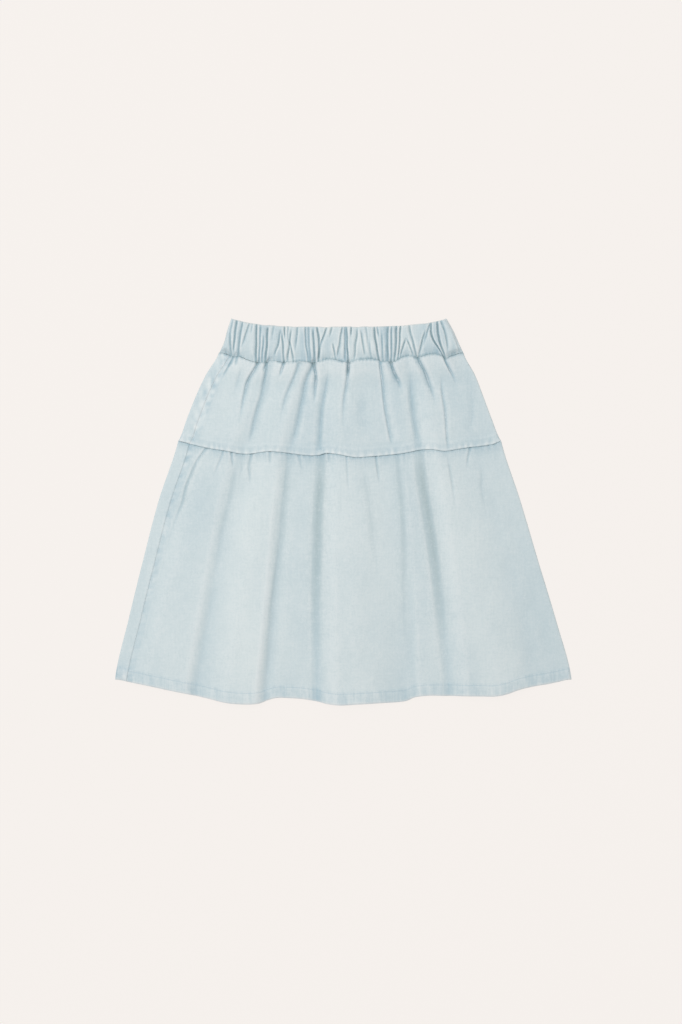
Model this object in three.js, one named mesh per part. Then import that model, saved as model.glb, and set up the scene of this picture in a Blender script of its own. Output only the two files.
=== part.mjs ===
// A two-tier pull-on denim skirt, laid flat on its back.
//
// Frame: millimetres, +X to the wearer's left as the front is looked down on, +Y from hem to waist,
// +Z up from the surface that the skirt lies on. The origin is the middle of the footprint, on that surface.
//
// Construction: a gathered elastic waistband in two halves, an upper tier of a front and a back panel gathered
// into the band, and a lower tier of a front and a back panel gathered into the upper tier. The garment has
// turned a little about its length, so the left side seam lies on top and the right side seam lies underneath.
// Every panel is a wall of cloth: a grid of points on its outer face, and the same grid moved in by the
// cloth's thickness. Heights come from tables of ridges and creases, one row for each.
import * as THREE from "three";

// ---- Driving dimensions, mm --------------------------------------------------------------------------

const CLOTH = 1.2; // wall of one panel
const SEAM_GAP = 0.3; // between the pieces at a seam
const LAYER_GAP = 0.3; // and, at the least, between the front and the back
const EDGE_RADIUS = 1.95; // of the cloth where it folds round at a side edge
const HEM_DEPTH = 14; // turned-up hem, below its row of stitching
const HEM_RAISE = 0.5; // how far the turned-up hem stands out
const HEM_BACKING = 0.3; // and how far it stands in
const SEAM_LEFT_WRAP = [12, 13.5, 14]; // the back panel on top at the left edge: band seam, tier seam, hem
const SEAM_RIGHT_WRAP = [6, 10, 12]; // the front panel underneath at the right edge

const WAIST = { left: -128.8, right: 122.8, middle: 216.2, cornerRise: 10, power: 4 };
const BAND_SEAM = { left: -143, right: 142.6, middle: 176, cornerRise: 10, power: 3 };
const TIER_SEAM = { middle: 65.5, cornerRise: 17, power: 2.2 };
const HEM = { middle: -226, cornerRise: 30, power: 1.7 };
const BACK_HEM_LIFT = 9; // how much higher the back hem lies at the middle
const BACK_BAND_LIFT = 2; // and the back's band seam

// Side edges of both tiers, a value at each quarter of a tier: band seam, tier seam at 4, hem at 8.
const SIDE_EDGE = {
  left: [-143.5, -158.7, -170.8, -181.1, -191.2, -214, -232.2, -249.3, -265],
  right: [143, 156.4, 166.5, 176.2, 187.2, 209.6, 230.2, 251.2, 269.5],
};

// ---- Waistband ---------------------------------------------------------------------------------------

const BAND = {
  middlePlane: 4.2, // where the two halves meet
  innerGap: 0.15, // from that plane to each half
  frontBody: 3, // elastic and casing, without the gathers
  gather: 3, // height of a full gather above that
  groove: 1.8, // depth of a full gather in the underside of the back half
  topRoll: 5, // the rolled upper edge
  sideRoll: 4.5, // the rounded side edges
  edgeShare: 0.3, // share of the height left at the rolled edges
  seamPinch: 0.42, // share of the height lost where the band is stitched down
};

// Grooves between the gathers of the front half: place across the waist edge and across the band seam,
// both in mm from the middle, and how deep the groove is, 1 for a full one.
const BAND_GROOVES = [
  { waist: -125.5, seam: -130.5, depth: 0.9 },
  { waist: -120.5, seam: -125.5, depth: 0.6 },
  { waist: -107, seam: -119.5, depth: 0.8 },
  { waist: -98.5, seam: -99.5, depth: 1 },
  { waist: -92.5, seam: -91.5, depth: 0.6 },
  { waist: -84.5, seam: -87.5, depth: 1 },
  { waist: -74.5, seam: -80, depth: 0.7 },
  { waist: -69.5, seam: -70.5, depth: 0.9 },
  { waist: -64.5, seam: -65, depth: 1 },
  { waist: -58, seam: -57.5, depth: 0.7 },
  { waist: -51.5, seam: -51, depth: 0.6 },
  { waist: -45, seam: -42.5, depth: 0.4 },
  { waist: -37, seam: -35.5, depth: 0.8 },
  { waist: -32.5, seam: -30, depth: 1 },
  { waist: -27.5, seam: -26, depth: 1 },
  { waist: -18, seam: -21, depth: 0.7 },
  { waist: -10, seam: -9, depth: 0.6 },
  { waist: -1.5, seam: -4, depth: 0.7 },
  { waist: 5.5, seam: 6.5, depth: 1 },
  { waist: 15, seam: 15.5, depth: 0.7 },
  { waist: 23, seam: 26.5, depth: 0.5 },
  { waist: 31, seam: 34, depth: 0.4 },
  { waist: 38, seam: 42.5, depth: 1 },
  { waist: 49, seam: 52.5, depth: 0.7 },
  { waist: 56, seam: 58.5, depth: 0.8 },
  { waist: 62, seam: 62.5, depth: 0.8 },
  { waist: 68, seam: 67, depth: 1 },
  { waist: 76.5, seam: 73, depth: 0.7 },
  { waist: 84, seam: 87.5, depth: 0.8 },
  { waist: 95, seam: 93, depth: 0.7 },
  { waist: 103.5, seam: 106, depth: 0.8 },
  { waist: 108, seam: 119, depth: 1 },
  { waist: 113.5, seam: 125, depth: 1 },
];
const BACK_BAND_GROOVES = 33; // on the back half, worked out by a formula

// ---- Upper tier --------------------------------------------------------------------------------------

// Creases that run down from the gathered band seam on the front: place at the band seam and at the tier
// seam as a share of the width, depth at each in mm, width on each side in mm, and how far down they reach.
const UPPER_CREASES = [
  { band: 0.059, tier: 0.05, deepBand: 1.6, deepTier: 0, left: 4, right: 5, reach: 0.3 },
  { band: 0.156, tier: 0.176, deepBand: 2.6, deepTier: 0.3, left: 4, right: 6, reach: 0.8 },
  { band: 0.203, tier: 0.216, deepBand: 2.8, deepTier: 1.3, left: 5, right: 7, reach: 1.2 },
  { band: 0.265, tier: 0.268, deepBand: 2.0, deepTier: 0, left: 4, right: 5, reach: 0.25 },
  { band: 0.329, tier: 0.292, deepBand: 1.6, deepTier: 0.2, left: 5, right: 7, reach: 0.75 },
  { band: 0.391, tier: 0.428, deepBand: 3.0, deepTier: 0, left: 5, right: 4, reach: 0.5 },
  { band: 0.529, tier: 0.513, deepBand: 3.2, deepTier: 0, left: 5, right: 5, reach: 0.6 },
  { band: 0.58, tier: 0.587, deepBand: 0.8, deepTier: 0.8, left: 12, right: 12, reach: 1.2 },
  { band: 0.657, tier: 0.668, deepBand: 3.0, deepTier: 1.8, left: 3.5, right: 5, reach: 1.2 },
  { band: 0.702, tier: 0.752, deepBand: 3.2, deepTier: 0.4, left: 5, right: 5, reach: 0.45 },
  { band: 0.814, tier: 0.844, deepBand: 2.4, deepTier: 0, left: 7, right: 6, reach: 0.55 },
  { band: 0.868, tier: 0.838, deepBand: 1.2, deepTier: 1.5, left: 4, right: 5, reach: 1.2 },
  { band: 0.921, tier: 0.936, deepBand: 2.2, deepTier: 0, left: 5, right: 6, reach: 0.35 },
];
const WAIST_LOFT = 3.6; // how far the gathered cloth stands up where it leaves the band
const WAIST_LOFT_REACH = 0.3; // share of the upper tier over which that dies away
const SCALLOP = 3; // how far the front's band seam bows up between the deepest creases
const SCALLOP_WIDTH = 14; // on each side of a crease

// ---- Both tiers, front -------------------------------------------------------------------------------

// Broad ridges that run from the band to the hem. Each has a left and a right foot, as a share of the width
// at the band seam, tier seam and hem, its height in mm at those three, and the width of its two shoulders.
const RIDGES = [
  { left: [0.02, 0.02, 0.02], right: [0.2, 0.2, 0.18], rise: [0.5, 1.6, 4.2], leftShoulder: 28, rightShoulder: 12 },
  { left: [0.2, 0.2, 0.18], right: [0.388, 0.348, 0.334], rise: [1.6, 3.4, 8.2], leftShoulder: 30, rightShoulder: 18 },
  { left: [0.388, 0.348, 0.334], right: [0.454, 0.438, 0.441], rise: [0.2, 0.6, 1.4], leftShoulder: 12, rightShoulder: 8 },
  { left: [0.454, 0.438, 0.441], right: [0.66, 0.674, 0.652], rise: [2.4, 5.2, 10.2], leftShoulder: 20, rightShoulder: 60 },
  { left: [0.66, 0.674, 0.652], right: [0.766, 0.747, 0.733], rise: [0.6, 1, 1.8], leftShoulder: 8, rightShoulder: 9 },
  { left: [0.766, 0.747, 0.733], right: [0.95, 0.945, 0.945], rise: [2.4, 5.4, 7.6], leftShoulder: 20, rightShoulder: 56 },
  { left: [0.91, 0.91, 0.91], right: [0.985, 0.985, 0.985], rise: [0.3, 0.5, 1], leftShoulder: 18, rightShoulder: 22 },
];
const EDGE_RAMP = 26; // the relief dies away over this distance from a side edge

// ---- Lower tier --------------------------------------------------------------------------------------

// Gathers below the tier seam on the front: place as a share of the width at the seam and where they end,
// depth at the seam and width on each side in mm, and how far down they reach as a share of the tier.
const LOWER_GATHERS = [
  { seam: 0.08, end: 0.052, depth: 1.4, width: 5, reach: 0.42 },
  { seam: 0.14, end: 0.13, depth: 0.9, width: 4.5, reach: 0.12 },
  { seam: 0.166, end: 0.177, depth: 1.2, width: 4.5, reach: 0.1 },
  { seam: 0.199, end: 0.203, depth: 0.9, width: 4.5, reach: 0.14 },
  { seam: 0.227, end: 0.237, depth: 1.6, width: 4.5, reach: 0.16 },
  { seam: 0.285, end: 0.29, depth: 0.9, width: 5, reach: 0.08 },
  { seam: 0.376, end: 0.387, depth: 1.1, width: 4.5, reach: 0.1 },
  { seam: 0.465, end: 0.468, depth: 0.9, width: 4.5, reach: 0.08 },
  { seam: 0.521, end: 0.527, depth: 0.7, width: 4, reach: 0.2 },
  { seam: 0.569, end: 0.59, depth: 0.6, width: 6, reach: 0.3 },
  { seam: 0.612, end: 0.618, depth: 1.4, width: 4.5, reach: 0.16 },
  { seam: 0.677, end: 0.656, depth: 1.4, width: 5, reach: 0.6 },
  { seam: 0.699, end: 0.698, depth: 0.7, width: 4, reach: 0.08 },
  { seam: 0.832, end: 0.82, depth: 0.9, width: 5, reach: 0.26 },
  { seam: 0.902, end: 0.88, depth: 1.1, width: 5, reach: 0.12 },
  { seam: 0.961, end: 0.955, depth: 0.7, width: 5, reach: 0.08 },
];

// Waves in the tier seam and in the front hem, as seen from above: a raised or lowered stretch from one
// share of the width to another, the lift in mm, and the share over which it begins and ends.
const TIER_SEAM_WAVES = [
  { from: 0.24, to: 0.39, lift: 2.4, soft: 0.08 },
  { from: 0.43, to: 0.51, lift: 2.6, soft: 0.07 },
  { from: 0.53, to: 0.65, lift: -1.8, soft: 0.08 },
  { from: 0.72, to: 0.82, lift: 1.8, soft: 0.08 },
];
const HEM_WAVES = [
  { from: 0.165, to: 0.32, lift: -7, soft: 0.1 },
  { from: 0.335, to: 0.45, lift: 4.4, soft: 0.03 },
  { from: 0.652, to: 0.74, lift: 5, soft: 0.03 },
  { from: 0.785, to: 0.885, lift: -5.4, soft: 0.05 },
];

// ---- Backs -------------------------------------------------------------------------------------------

// Folds of cloth that arch clear of the surface under the back panels: a place at the upper and the lower
// end of the tier as a share of the width, height in mm at each end, and width on each side in mm.
const UPPER_BACK_FOLDS = [
  { top: 0.1, bottom: 0.09, deepTop: 0.9, deepBottom: 0.2, width: 5 },
  { top: 0.21, bottom: 0.2, deepTop: 0.9, deepBottom: 0.4, width: 6 },
  { top: 0.33, bottom: 0.315, deepTop: 0.9, deepBottom: 0.1, width: 5 },
  { top: 0.41, bottom: 0.42, deepTop: 0.9, deepBottom: 0.5, width: 6 },
  { top: 0.53, bottom: 0.53, deepTop: 0.9, deepBottom: 0.1, width: 5 },
  { top: 0.64, bottom: 0.65, deepTop: 0.9, deepBottom: 0.5, width: 6 },
  { top: 0.72, bottom: 0.74, deepTop: 0.9, deepBottom: 0.1, width: 5 },
  { top: 0.82, bottom: 0.84, deepTop: 0.9, deepBottom: 0.4, width: 6 },
  { top: 0.9, bottom: 0.91, deepTop: 0.9, deepBottom: 0.1, width: 5 },
];
const LOWER_BACK_FOLDS = [
  { top: 0.08, bottom: 0.09, deepTop: 0.8, deepBottom: 1.2, width: 11 },
  { top: 0.17, bottom: 0.165, deepTop: 0.8, deepBottom: 0, width: 6 },
  { top: 0.25, bottom: 0.245, deepTop: 0.8, deepBottom: 2.6, width: 15 },
  { top: 0.33, bottom: 0.335, deepTop: 0.8, deepBottom: 0, width: 6 },
  { top: 0.4, bottom: 0.4, deepTop: 0.8, deepBottom: 0, width: 6 },
  { top: 0.51, bottom: 0.515, deepTop: 1.2, deepBottom: 4, width: 18 },
  { top: 0.61, bottom: 0.61, deepTop: 0.8, deepBottom: 0, width: 6 },
  { top: 0.69, bottom: 0.69, deepTop: 0.8, deepBottom: 0, width: 6 },
  { top: 0.79, bottom: 0.785, deepTop: 1.2, deepBottom: 3, width: 15 },
  { top: 0.89, bottom: 0.9, deepTop: 0.8, deepBottom: 0, width: 6 },
];

// ---- Grids -------------------------------------------------------------------------------------------

const UPPER_ROWS = [0, 0.05, 0.13, 0.25, 0.42, 0.62, 0.82, 1];
const LOWER_ROWS = [0, 0.03, 0.075, 0.13, 0.21, 0.32, 0.44, 0.57, 0.7, 0.82, 0.93];
const BAND_ROWS = [0, 0.05, 0.16, 0.45, 0.78, 1];
const TURN_STEPS = 4; // facets round a side edge
const FINEST = 0.0075; // the closest that two columns of a grid stand, as a share of the width
const COARSEST = 0.019; // and the furthest apart, on the front
const COARSEST_BACK = 0.05; // and on the back

// ---- Small functions ---------------------------------------------------------------------------------

const { clamp, lerp } = THREE.MathUtils;

const ease = (x) => {
  const q = clamp(x, 0, 1);
  return q * q * (3 - 2 * q);
};

// A smooth curve through evenly spaced values; t runs from 0 to the last one's index.
function through(values, t) {
  const i = clamp(Math.floor(t), 0, values.length - 2);
  const at = (k) => values[clamp(k, 0, values.length - 1)];
  const [a, b, c, d] = [at(i - 1), at(i), at(i + 1), at(i + 2)];
  const q = t - i;
  return b + 0.5 * q * (c - a + q * (2 * a - 5 * b + 4 * c - d + q * (3 * (b - c) + d - a)));
}

// 1 in a crease and 0 at its width or beyond, q being the distance from it over that width.
const dip = (q) => (Math.abs(q) < 1 ? (1 - Math.abs(q)) ** 2 * (1 + 2 * Math.abs(q)) : 0);

const stretch = (u, { from, to, soft }) => ease((u - from) / soft + 0.5) * ease((to - u) / soft + 0.5);

const waves = (rows, u) => rows.reduce((sum, row) => sum + row.lift * stretch(u, row), 0);

const bow = ({ middle, cornerRise, power }, u) => middle + cornerRise * Math.abs(2 * u - 1) ** power;

// ---- The outline, seen from above --------------------------------------------------------------------
// t runs down the garment: 0 at the band seam, 1 at the tier seam, 2 at the hem. u runs across it, 0 to 1.

const leftEdge = (t) => through(SIDE_EDGE.left, t * 4);
const rightEdge = (t) => through(SIDE_EDGE.right, t * 4);
const widthAt = (t) => rightEdge(t) - leftEdge(t);

// The band seam bows up where the front's cloth stands out between two deep creases.
function scallops(u) {
  const pull = UPPER_CREASES.map((c) => c.deepBand * dip(((u - c.band) * widthAt(0)) / SCALLOP_WIDTH));
  return SCALLOP * (0.5 - clamp(Math.max(...pull) / 3, 0, 1)) * ease(Math.min(u, 1 - u) / 0.06);
}

const front = {
  bandSeam: (u) => bow(BAND_SEAM, u) + scallops(u),
  tierSeam: (u) => bow(TIER_SEAM, u) + waves(TIER_SEAM_WAVES, u),
  hem: (u) => bow(HEM, u) + waves(HEM_WAVES, u),
};
const back = {
  bandSeam: (u) => bow(BAND_SEAM, u) + BACK_BAND_LIFT * ease(Math.min(u, 1 - u) / 0.06),
  tierSeam: (u) => bow(TIER_SEAM, u),
  hem: (u) => bow(HEM, u) + BACK_HEM_LIFT * (1 - (2 * u - 1) ** 4),
};
const lengthwise = ({ bandSeam, tierSeam, hem }, u, t) =>
  t <= 1 ? lerp(bandSeam(u), tierSeam(u), t) : lerp(tierSeam(u), hem(u), t - 1);

// ---- The relief --------------------------------------------------------------------------------------

function ridge({ left, right, rise, leftShoulder, rightShoulder }, u, t) {
  const fromLeft = (u - through(left, t)) * widthAt(t);
  const fromRight = (through(right, t) - u) * widthAt(t);
  return through(rise, t) * ease(fromLeft / leftShoulder) * ease(fromRight / rightShoulder);
}

function upperCrease({ band, tier, deepBand, deepTier, left, right, reach }, u, t) {
  const away = (u - lerp(band, tier, t)) * widthAt(t);
  return lerp(deepBand, deepTier, t) * dip(away / (away < 0 ? left : right)) * (1 - ease((t - reach * 0.5) / (reach * 0.5)));
}

function lowerGather({ seam, end, depth, width, reach }, u, t) {
  const down = (t - 1) / reach;
  if (down >= 1) return 0;
  const spread = width * (1 + 0.5 * down);
  return depth * (1 - ease(down)) * dip(((u - lerp(seam, end, down)) * widthAt(t)) / spread);
}

// Height of the front's outer face over the flat side edges.
function frontRelief(u, t) {
  const loft = WAIST_LOFT * (1 - ease(t / WAIST_LOFT_REACH));
  const broad = RIDGES.reduce((sum, row) => sum + ridge(row, u, t), 0);
  const creases =
    t <= 1
      ? UPPER_CREASES.reduce((sum, row) => sum + upperCrease(row, u, t), 0)
      : LOWER_GATHERS.reduce((sum, row) => sum + lowerGather(row, u, t), 0);
  const nearEdge = Math.min(u, 1 - u) * widthAt(t) - EDGE_RADIUS;
  return Math.max(0, loft + broad - creases) * ease(nearEdge / EDGE_RAMP);
}

const inHem = (t) => t > 1 && (2 - t) * (TIER_SEAM.middle - HEM.middle) < HEM_DEPTH;

// Height of the back's outer face over the surface that it lies on. A fold stays clear of the front above it.
function backRelief(folds, u, down, t) {
  const room = 2 * EDGE_RADIUS + frontRelief(u, t) - 2 * CLOTH - LAYER_GAP - (inHem(t) ? HEM_BACKING + HEM_RAISE : 0);
  return folds.reduce((most, { top, bottom, deepTop, deepBottom, width }) => {
    const away = ((u - lerp(top, bottom, down)) * widthAt(t)) / width;
    return Math.max(most, lerp(deepTop, deepBottom, down) * dip(away) * ease(room));
  }, 0);
}

// ---- Points of the outer face ------------------------------------------------------------------------

function topPoint(u, t) {
  const x = lerp(leftEdge(t), rightEdge(t), u);
  return new THREE.Vector3(x, lengthwise(front, u, t), 2 * EDGE_RADIUS + frontRelief(u, t) + (inHem(t) ? HEM_RAISE : 0));
}

function underPoint(u, t, folds = []) {
  const x = lerp(leftEdge(t), rightEdge(t), u);
  return new THREE.Vector3(x, lengthwise(back, u, t), backRelief(folds, u, t > 1 ? t - 1 : t, t));
}

// side is 1 at the right edge and -1 at the left; turn runs from 0 on top to 1 underneath.
function edgePoint(side, turn, t) {
  const angle = turn * Math.PI;
  const edge = side > 0 ? rightEdge(t) : leftEdge(t);
  const radius = EDGE_RADIUS + (inHem(t) ? (HEM_RAISE * (1 - turn)) / 2 : 0);
  const x = edge - side * EDGE_RADIUS * (1 - Math.sin(angle));
  return new THREE.Vector3(x, lengthwise(front, (side + 1) / 2, t), radius * (1 + Math.cos(angle)));
}

const shareOf = (distance, t) => distance / widthAt(t);

// ---- Columns of a panel's grid -----------------------------------------------------------------------

// Pairs of places across a tier, at its upper and lower end, sorted, thinned and then filled out.
function spacedColumns(wanted, coarsest, first, last) {
  const kept = [first];
  for (const pair of [...wanted].sort((a, b) => a[0] + a[1] - b[0] - b[1])) {
    const before = kept[kept.length - 1];
    const clear = (from, to) => to[0] - from[0] >= FINEST && to[1] - from[1] >= FINEST;
    if (clear(before, pair) && clear(pair, last)) kept.push(pair);
  }
  kept.push(last);
  return kept.slice(1).reduce(
    (out, pair) => {
      const before = out[out.length - 1];
      const steps = Math.ceil(Math.max(pair[0] - before[0], pair[1] - before[1]) / coarsest);
      for (let i = 1; i <= steps; i += 1) out.push([lerp(before[0], pair[0], i / steps), lerp(before[1], pair[1], i / steps)]);
      return out;
    },
    [first],
  );
}

// The feet, the shoulders and the steepest places of the ridges, at the two ends of a tier.
function ridgeColumns(start, end) {
  return RIDGES.flatMap(({ left, right, leftShoulder, rightShoulder }) =>
    [0, 0.5, 1].flatMap((share) => [
      [start, end].map((t) => through(left, t) + shareOf(leftShoulder * share, t)),
      [start, end].map((t) => through(right, t) - shareOf(rightShoulder * share, t)),
    ]),
  );
}

const upperCreaseColumns = UPPER_CREASES.flatMap(({ band, tier, left, right }) => [
  [band - shareOf(left, 0), tier - shareOf(left, 1)],
  [band, tier],
  [band + shareOf(right, 0), tier + shareOf(right, 1)],
]);

const lowerGatherColumns = LOWER_GATHERS.flatMap(({ seam, end, width, reach }) => {
  const hem = seam + (end - seam) * Math.min(1 / reach, 3);
  return [-1, 0, 1].map((side) => [seam + side * shareOf(width, 1), hem + side * shareOf(width, 2)]);
});

const foldColumns = (folds) =>
  folds.flatMap(({ top, bottom, width }) => [-1, 0, 1].map((side) => [top + (side * width) / 400, bottom + (side * width) / 500]));

// ---- Panels ------------------------------------------------------------------------------------------

// A front panel: from the left side seam across the top, round the right edge and a little way underneath.
function frontColumns(pairs, start) {
  const inset = (t) => shareOf(EDGE_RADIUS, t);
  const across = pairs.map(([top, bottom]) => (t) => {
    const seam = shareOf(through(SEAM_LEFT_WRAP, t) + SEAM_GAP, t);
    return topPoint(lerp(seam, 1 - inset(t), lerp(top, bottom, t - start)), t);
  });
  const turn = Array.from({ length: TURN_STEPS - 1 }, (_, i) => (t) => edgePoint(1, (i + 1) / TURN_STEPS, t));
  const under = [inset, (t) => shareOf(through(SEAM_RIGHT_WRAP, t), t)].map((share) => (t) => underPoint(1 - share(t), t));
  return [...across, ...turn, ...under];
}

// A back panel: from the right side seam across underneath, round the left edge and a little way on top.
function backColumns(pairs, start, folds) {
  const inset = (t) => shareOf(EDGE_RADIUS, t);
  const across = pairs.map(([top, bottom]) => (t) => {
    const seam = shareOf(through(SEAM_RIGHT_WRAP, t) + SEAM_GAP, t);
    return underPoint(lerp(inset(t), 1 - seam, lerp(top, bottom, t - start)), t, folds);
  });
  const turn = Array.from({ length: TURN_STEPS - 1 }, (_, i) => (t) => edgePoint(-1, 1 - (i + 1) / TURN_STEPS, t));
  const over = [inset, (t) => shareOf(through(SEAM_LEFT_WRAP, t), t)].map((share) => (t) => topPoint(share(t), t));
  return [...across.reverse(), ...turn, ...over];
}

// Outward normals of a grid of points. At a seam the cloth's end is square to the seam.
function gridNormals(grid) {
  const rows = grid.length;
  const columns = grid[0].length;
  return grid.map((row, r) =>
    row.map((_, c) => {
      const down = grid[Math.min(r + 1, rows - 1)][c].clone().sub(grid[Math.max(r - 1, 0)][c]);
      const across = row[Math.min(c + 1, columns - 1)].clone().sub(row[Math.max(c - 1, 0)]);
      const normal = down.cross(across);
      if (r === 0 || r === rows - 1) normal.y = 0;
      if (c === 0 || c === columns - 1) normal.x = 0;
      return normal.normalize();
    }),
  );
}

// One closed surface round two grids of the same size, outer and inner.
function wallGeometry(outer, inner) {
  const rows = outer.length;
  const columns = outer[0].length;
  const points = [...outer.flat(), ...inner.flat()];
  const at = (r, c, side) => side * rows * columns + r * columns + c;
  const faces = [];
  const quad = (a, b, c, d) => faces.push(a, b, c, a, c, d);
  for (let r = 0; r < rows - 1; r += 1) {
    for (let c = 0; c < columns - 1; c += 1) {
      quad(at(r, c, 0), at(r + 1, c, 0), at(r + 1, c + 1, 0), at(r, c + 1, 0));
      quad(at(r, c, 1), at(r, c + 1, 1), at(r + 1, c + 1, 1), at(r + 1, c, 1));
    }
    quad(at(r, 0, 0), at(r, 0, 1), at(r + 1, 0, 1), at(r + 1, 0, 0));
    quad(at(r, columns - 1, 0), at(r + 1, columns - 1, 0), at(r + 1, columns - 1, 1), at(r, columns - 1, 1));
  }
  for (let c = 0; c < columns - 1; c += 1) {
    quad(at(0, c, 0), at(0, c + 1, 0), at(0, c + 1, 1), at(0, c, 1));
    quad(at(rows - 1, c, 0), at(rows - 1, c, 1), at(rows - 1, c + 1, 1), at(rows - 1, c + 1, 0));
  }
  const geometry = new THREE.BufferGeometry().setFromPoints(points).setIndex(faces);
  geometry.computeVertexNormals();
  return geometry;
}

// A panel of one tier. Its first and last rows stop half a seam's gap short of the seams.
function panel({ columns, rows, start, isFront }) {
  const tierLength = start === 0 ? BAND_SEAM.middle - TIER_SEAM.middle : TIER_SEAM.middle - HEM.middle;
  const trim = SEAM_GAP / 2 / tierLength;
  const last = start === 1 ? 1 : 1 - trim;
  const downs = rows.map((row) => start + clamp(row, trim, last));
  const outer = downs.map((t) => columns.map((column) => column(t)));
  const normals = gridNormals(outer);
  const inner = outer.map((row, r) =>
    row.map((point, c) => {
      const thick = CLOTH + (inHem(downs[r]) ? HEM_RAISE + (isFront ? HEM_BACKING : 0) : 0);
      return point.clone().addScaledVector(normals[r][c], -thick);
    }),
  );
  return wallGeometry(outer, inner);
}

// ---- Waistband ---------------------------------------------------------------------------------------

// v runs down the band, 0 at the waist edge and 1 at the band seam.
const bandLeft = (v) => lerp(WAIST.left, BAND_SEAM.left, v);
const bandRight = (v) => lerp(WAIST.right, BAND_SEAM.right, v);

// Grooves of the back half: evenly spread, then shifted, leant and deepened unevenly.
const backBandGrooves = Array.from({ length: BACK_BAND_GROOVES }, (_, i) => {
  const share = (i + 1) / (BACK_BAND_GROOVES + 1);
  const shift = 2.2 * Math.sin(i * 2.4) + 1.1 * Math.sin(i * 5.1);
  return {
    waist: lerp(WAIST.left, WAIST.right, share) + shift,
    seam: lerp(BAND_SEAM.left, BAND_SEAM.right, share) + shift + 1.8 * Math.sin(i * 3.7),
    depth: 0.75 + 0.25 * Math.sin(i * 4.3),
  };
});

// Columns of a band's grid: each groove, and two places on the gather after it.
function bandColumns(grooves) {
  const ends = [
    { waist: WAIST.left, seam: BAND_SEAM.left, depth: 0.6 },
    ...grooves,
    { waist: WAIST.right, seam: BAND_SEAM.right, depth: 0.6 },
  ];
  const columns = ends.slice(0, -1).flatMap((groove, i) =>
    [0, 0.3, 0.7].map((across) => ({ from: groove, to: ends[i + 1], across })),
  );
  return [...columns, { from: ends[ends.length - 2], to: ends[ends.length - 1], across: 1 }];
}

// How high a gather stands between two grooves: 0 in a full groove and up to 1 on a wide gather.
function gatherHeight({ from, to, across }) {
  const wide = clamp((to.seam - from.seam) / 9, 0.55, 1);
  const arch = (4 * across * (1 - across)) ** 0.6;
  return Math.max(1 - lerp(from.depth, to.depth, across), 0) * (1 - arch) * 0.6 + wide * arch;
}

function bandGeometry(grooves, { bandSeam }, height, sign) {
  const columns = bandColumns(grooves);
  const trim = SEAM_GAP / 2 / (WAIST.middle - BAND_SEAM.middle);
  const plane = BAND.middlePlane + sign * BAND.innerGap;
  const grids = { outer: [], inner: [] };
  for (const row of BAND_ROWS) {
    const v = Math.min(row, 1 - trim);
    const points = columns.map((column) => {
      const x = lerp(lerp(column.from.waist, column.to.waist, column.across), lerp(column.from.seam, column.to.seam, column.across), v);
      const u = (x - bandLeft(v)) / (bandRight(v) - bandLeft(v));
      const y = lerp(bow(WAIST, u) - 0.8 * (1 - gatherHeight(column)), bandSeam(u), v);
      return { x, y, z: height(column, u, v) };
    });
    grids.outer.push(points.map((p) => new THREE.Vector3(p.x, p.y, p.z)));
    grids.inner.push(points.map((p) => new THREE.Vector3(p.x, p.y, plane)));
  }
  return sign > 0 ? wallGeometry(grids.outer, grids.inner) : wallGeometry(grids.inner, grids.outer);
}

// Share of the full height at a place on the band: rolled at the waist and the sides, pinched at the seam.
function bandShape(u, v) {
  const down = v * (WAIST.middle - BAND_SEAM.middle);
  const inward = Math.min(u, 1 - u) * (bandRight(v) - bandLeft(v));
  const roll = (distance, width) => Math.sqrt(1 - (1 - clamp(distance / width, 0, 1)) ** 2);
  const rolled = roll(down, BAND.topRoll) * roll(inward, BAND.sideRoll);
  return lerp(BAND.edgeShare, 1, rolled) * (1 - BAND.seamPinch * ease((v - 0.55) / 0.45) ** 2);
}

const frontBandHeight = (column, u, v) =>
  BAND.middlePlane + BAND.innerGap + bandShape(u, v) * (BAND.frontBody + BAND.gather * gatherHeight(column));

const backBandHeight = (column, u, v) => {
  const inward = Math.min(u, 1 - u) * (bandRight(v) - bandLeft(v));
  const full = BAND.middlePlane - BAND.innerGap;
  const flat = gatherHeight(column) > 0.8 ? 1 : gatherHeight(column);
  const lift = (1 - Math.sqrt(1 - (1 - clamp(Math.min(inward / BAND.sideRoll, (v * 38) / BAND.topRoll), 0, 1)) ** 2)) * (1 - BAND.edgeShare);
  return Math.max(full * lift, BAND.groove * (1 - flat));
};

// ---- Materials and the group -------------------------------------------------------------------------

const cloth = (color) => new THREE.MeshStandardMaterial({ color, roughness: 0.9, metalness: 0 });
const PALE_DENIM = 0xcad6d9;
const BAND_DENIM = 0xc0d0d8;

function part(name, geometry, color) {
  const mesh = new THREE.Mesh(geometry, cloth(color));
  mesh.name = name;
  return mesh;
}

const FULL = [
  [0, 0],
  [1, 1],
];
const upperFrontPairs = spacedColumns([...ridgeColumns(0, 1), ...upperCreaseColumns], COARSEST, ...FULL);
const lowerFrontPairs = spacedColumns([...ridgeColumns(1, 2), ...lowerGatherColumns], COARSEST, ...FULL);
const upperBackPairs = spacedColumns(foldColumns(UPPER_BACK_FOLDS), COARSEST_BACK, ...FULL);
const lowerBackPairs = spacedColumns(foldColumns(LOWER_BACK_FOLDS), COARSEST_BACK, ...FULL);

const hemShare = 1 - HEM_DEPTH / (TIER_SEAM.middle - HEM.middle);
const lowerRows = [...LOWER_ROWS, hemShare - 0.001, hemShare + 0.003, 1];

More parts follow.
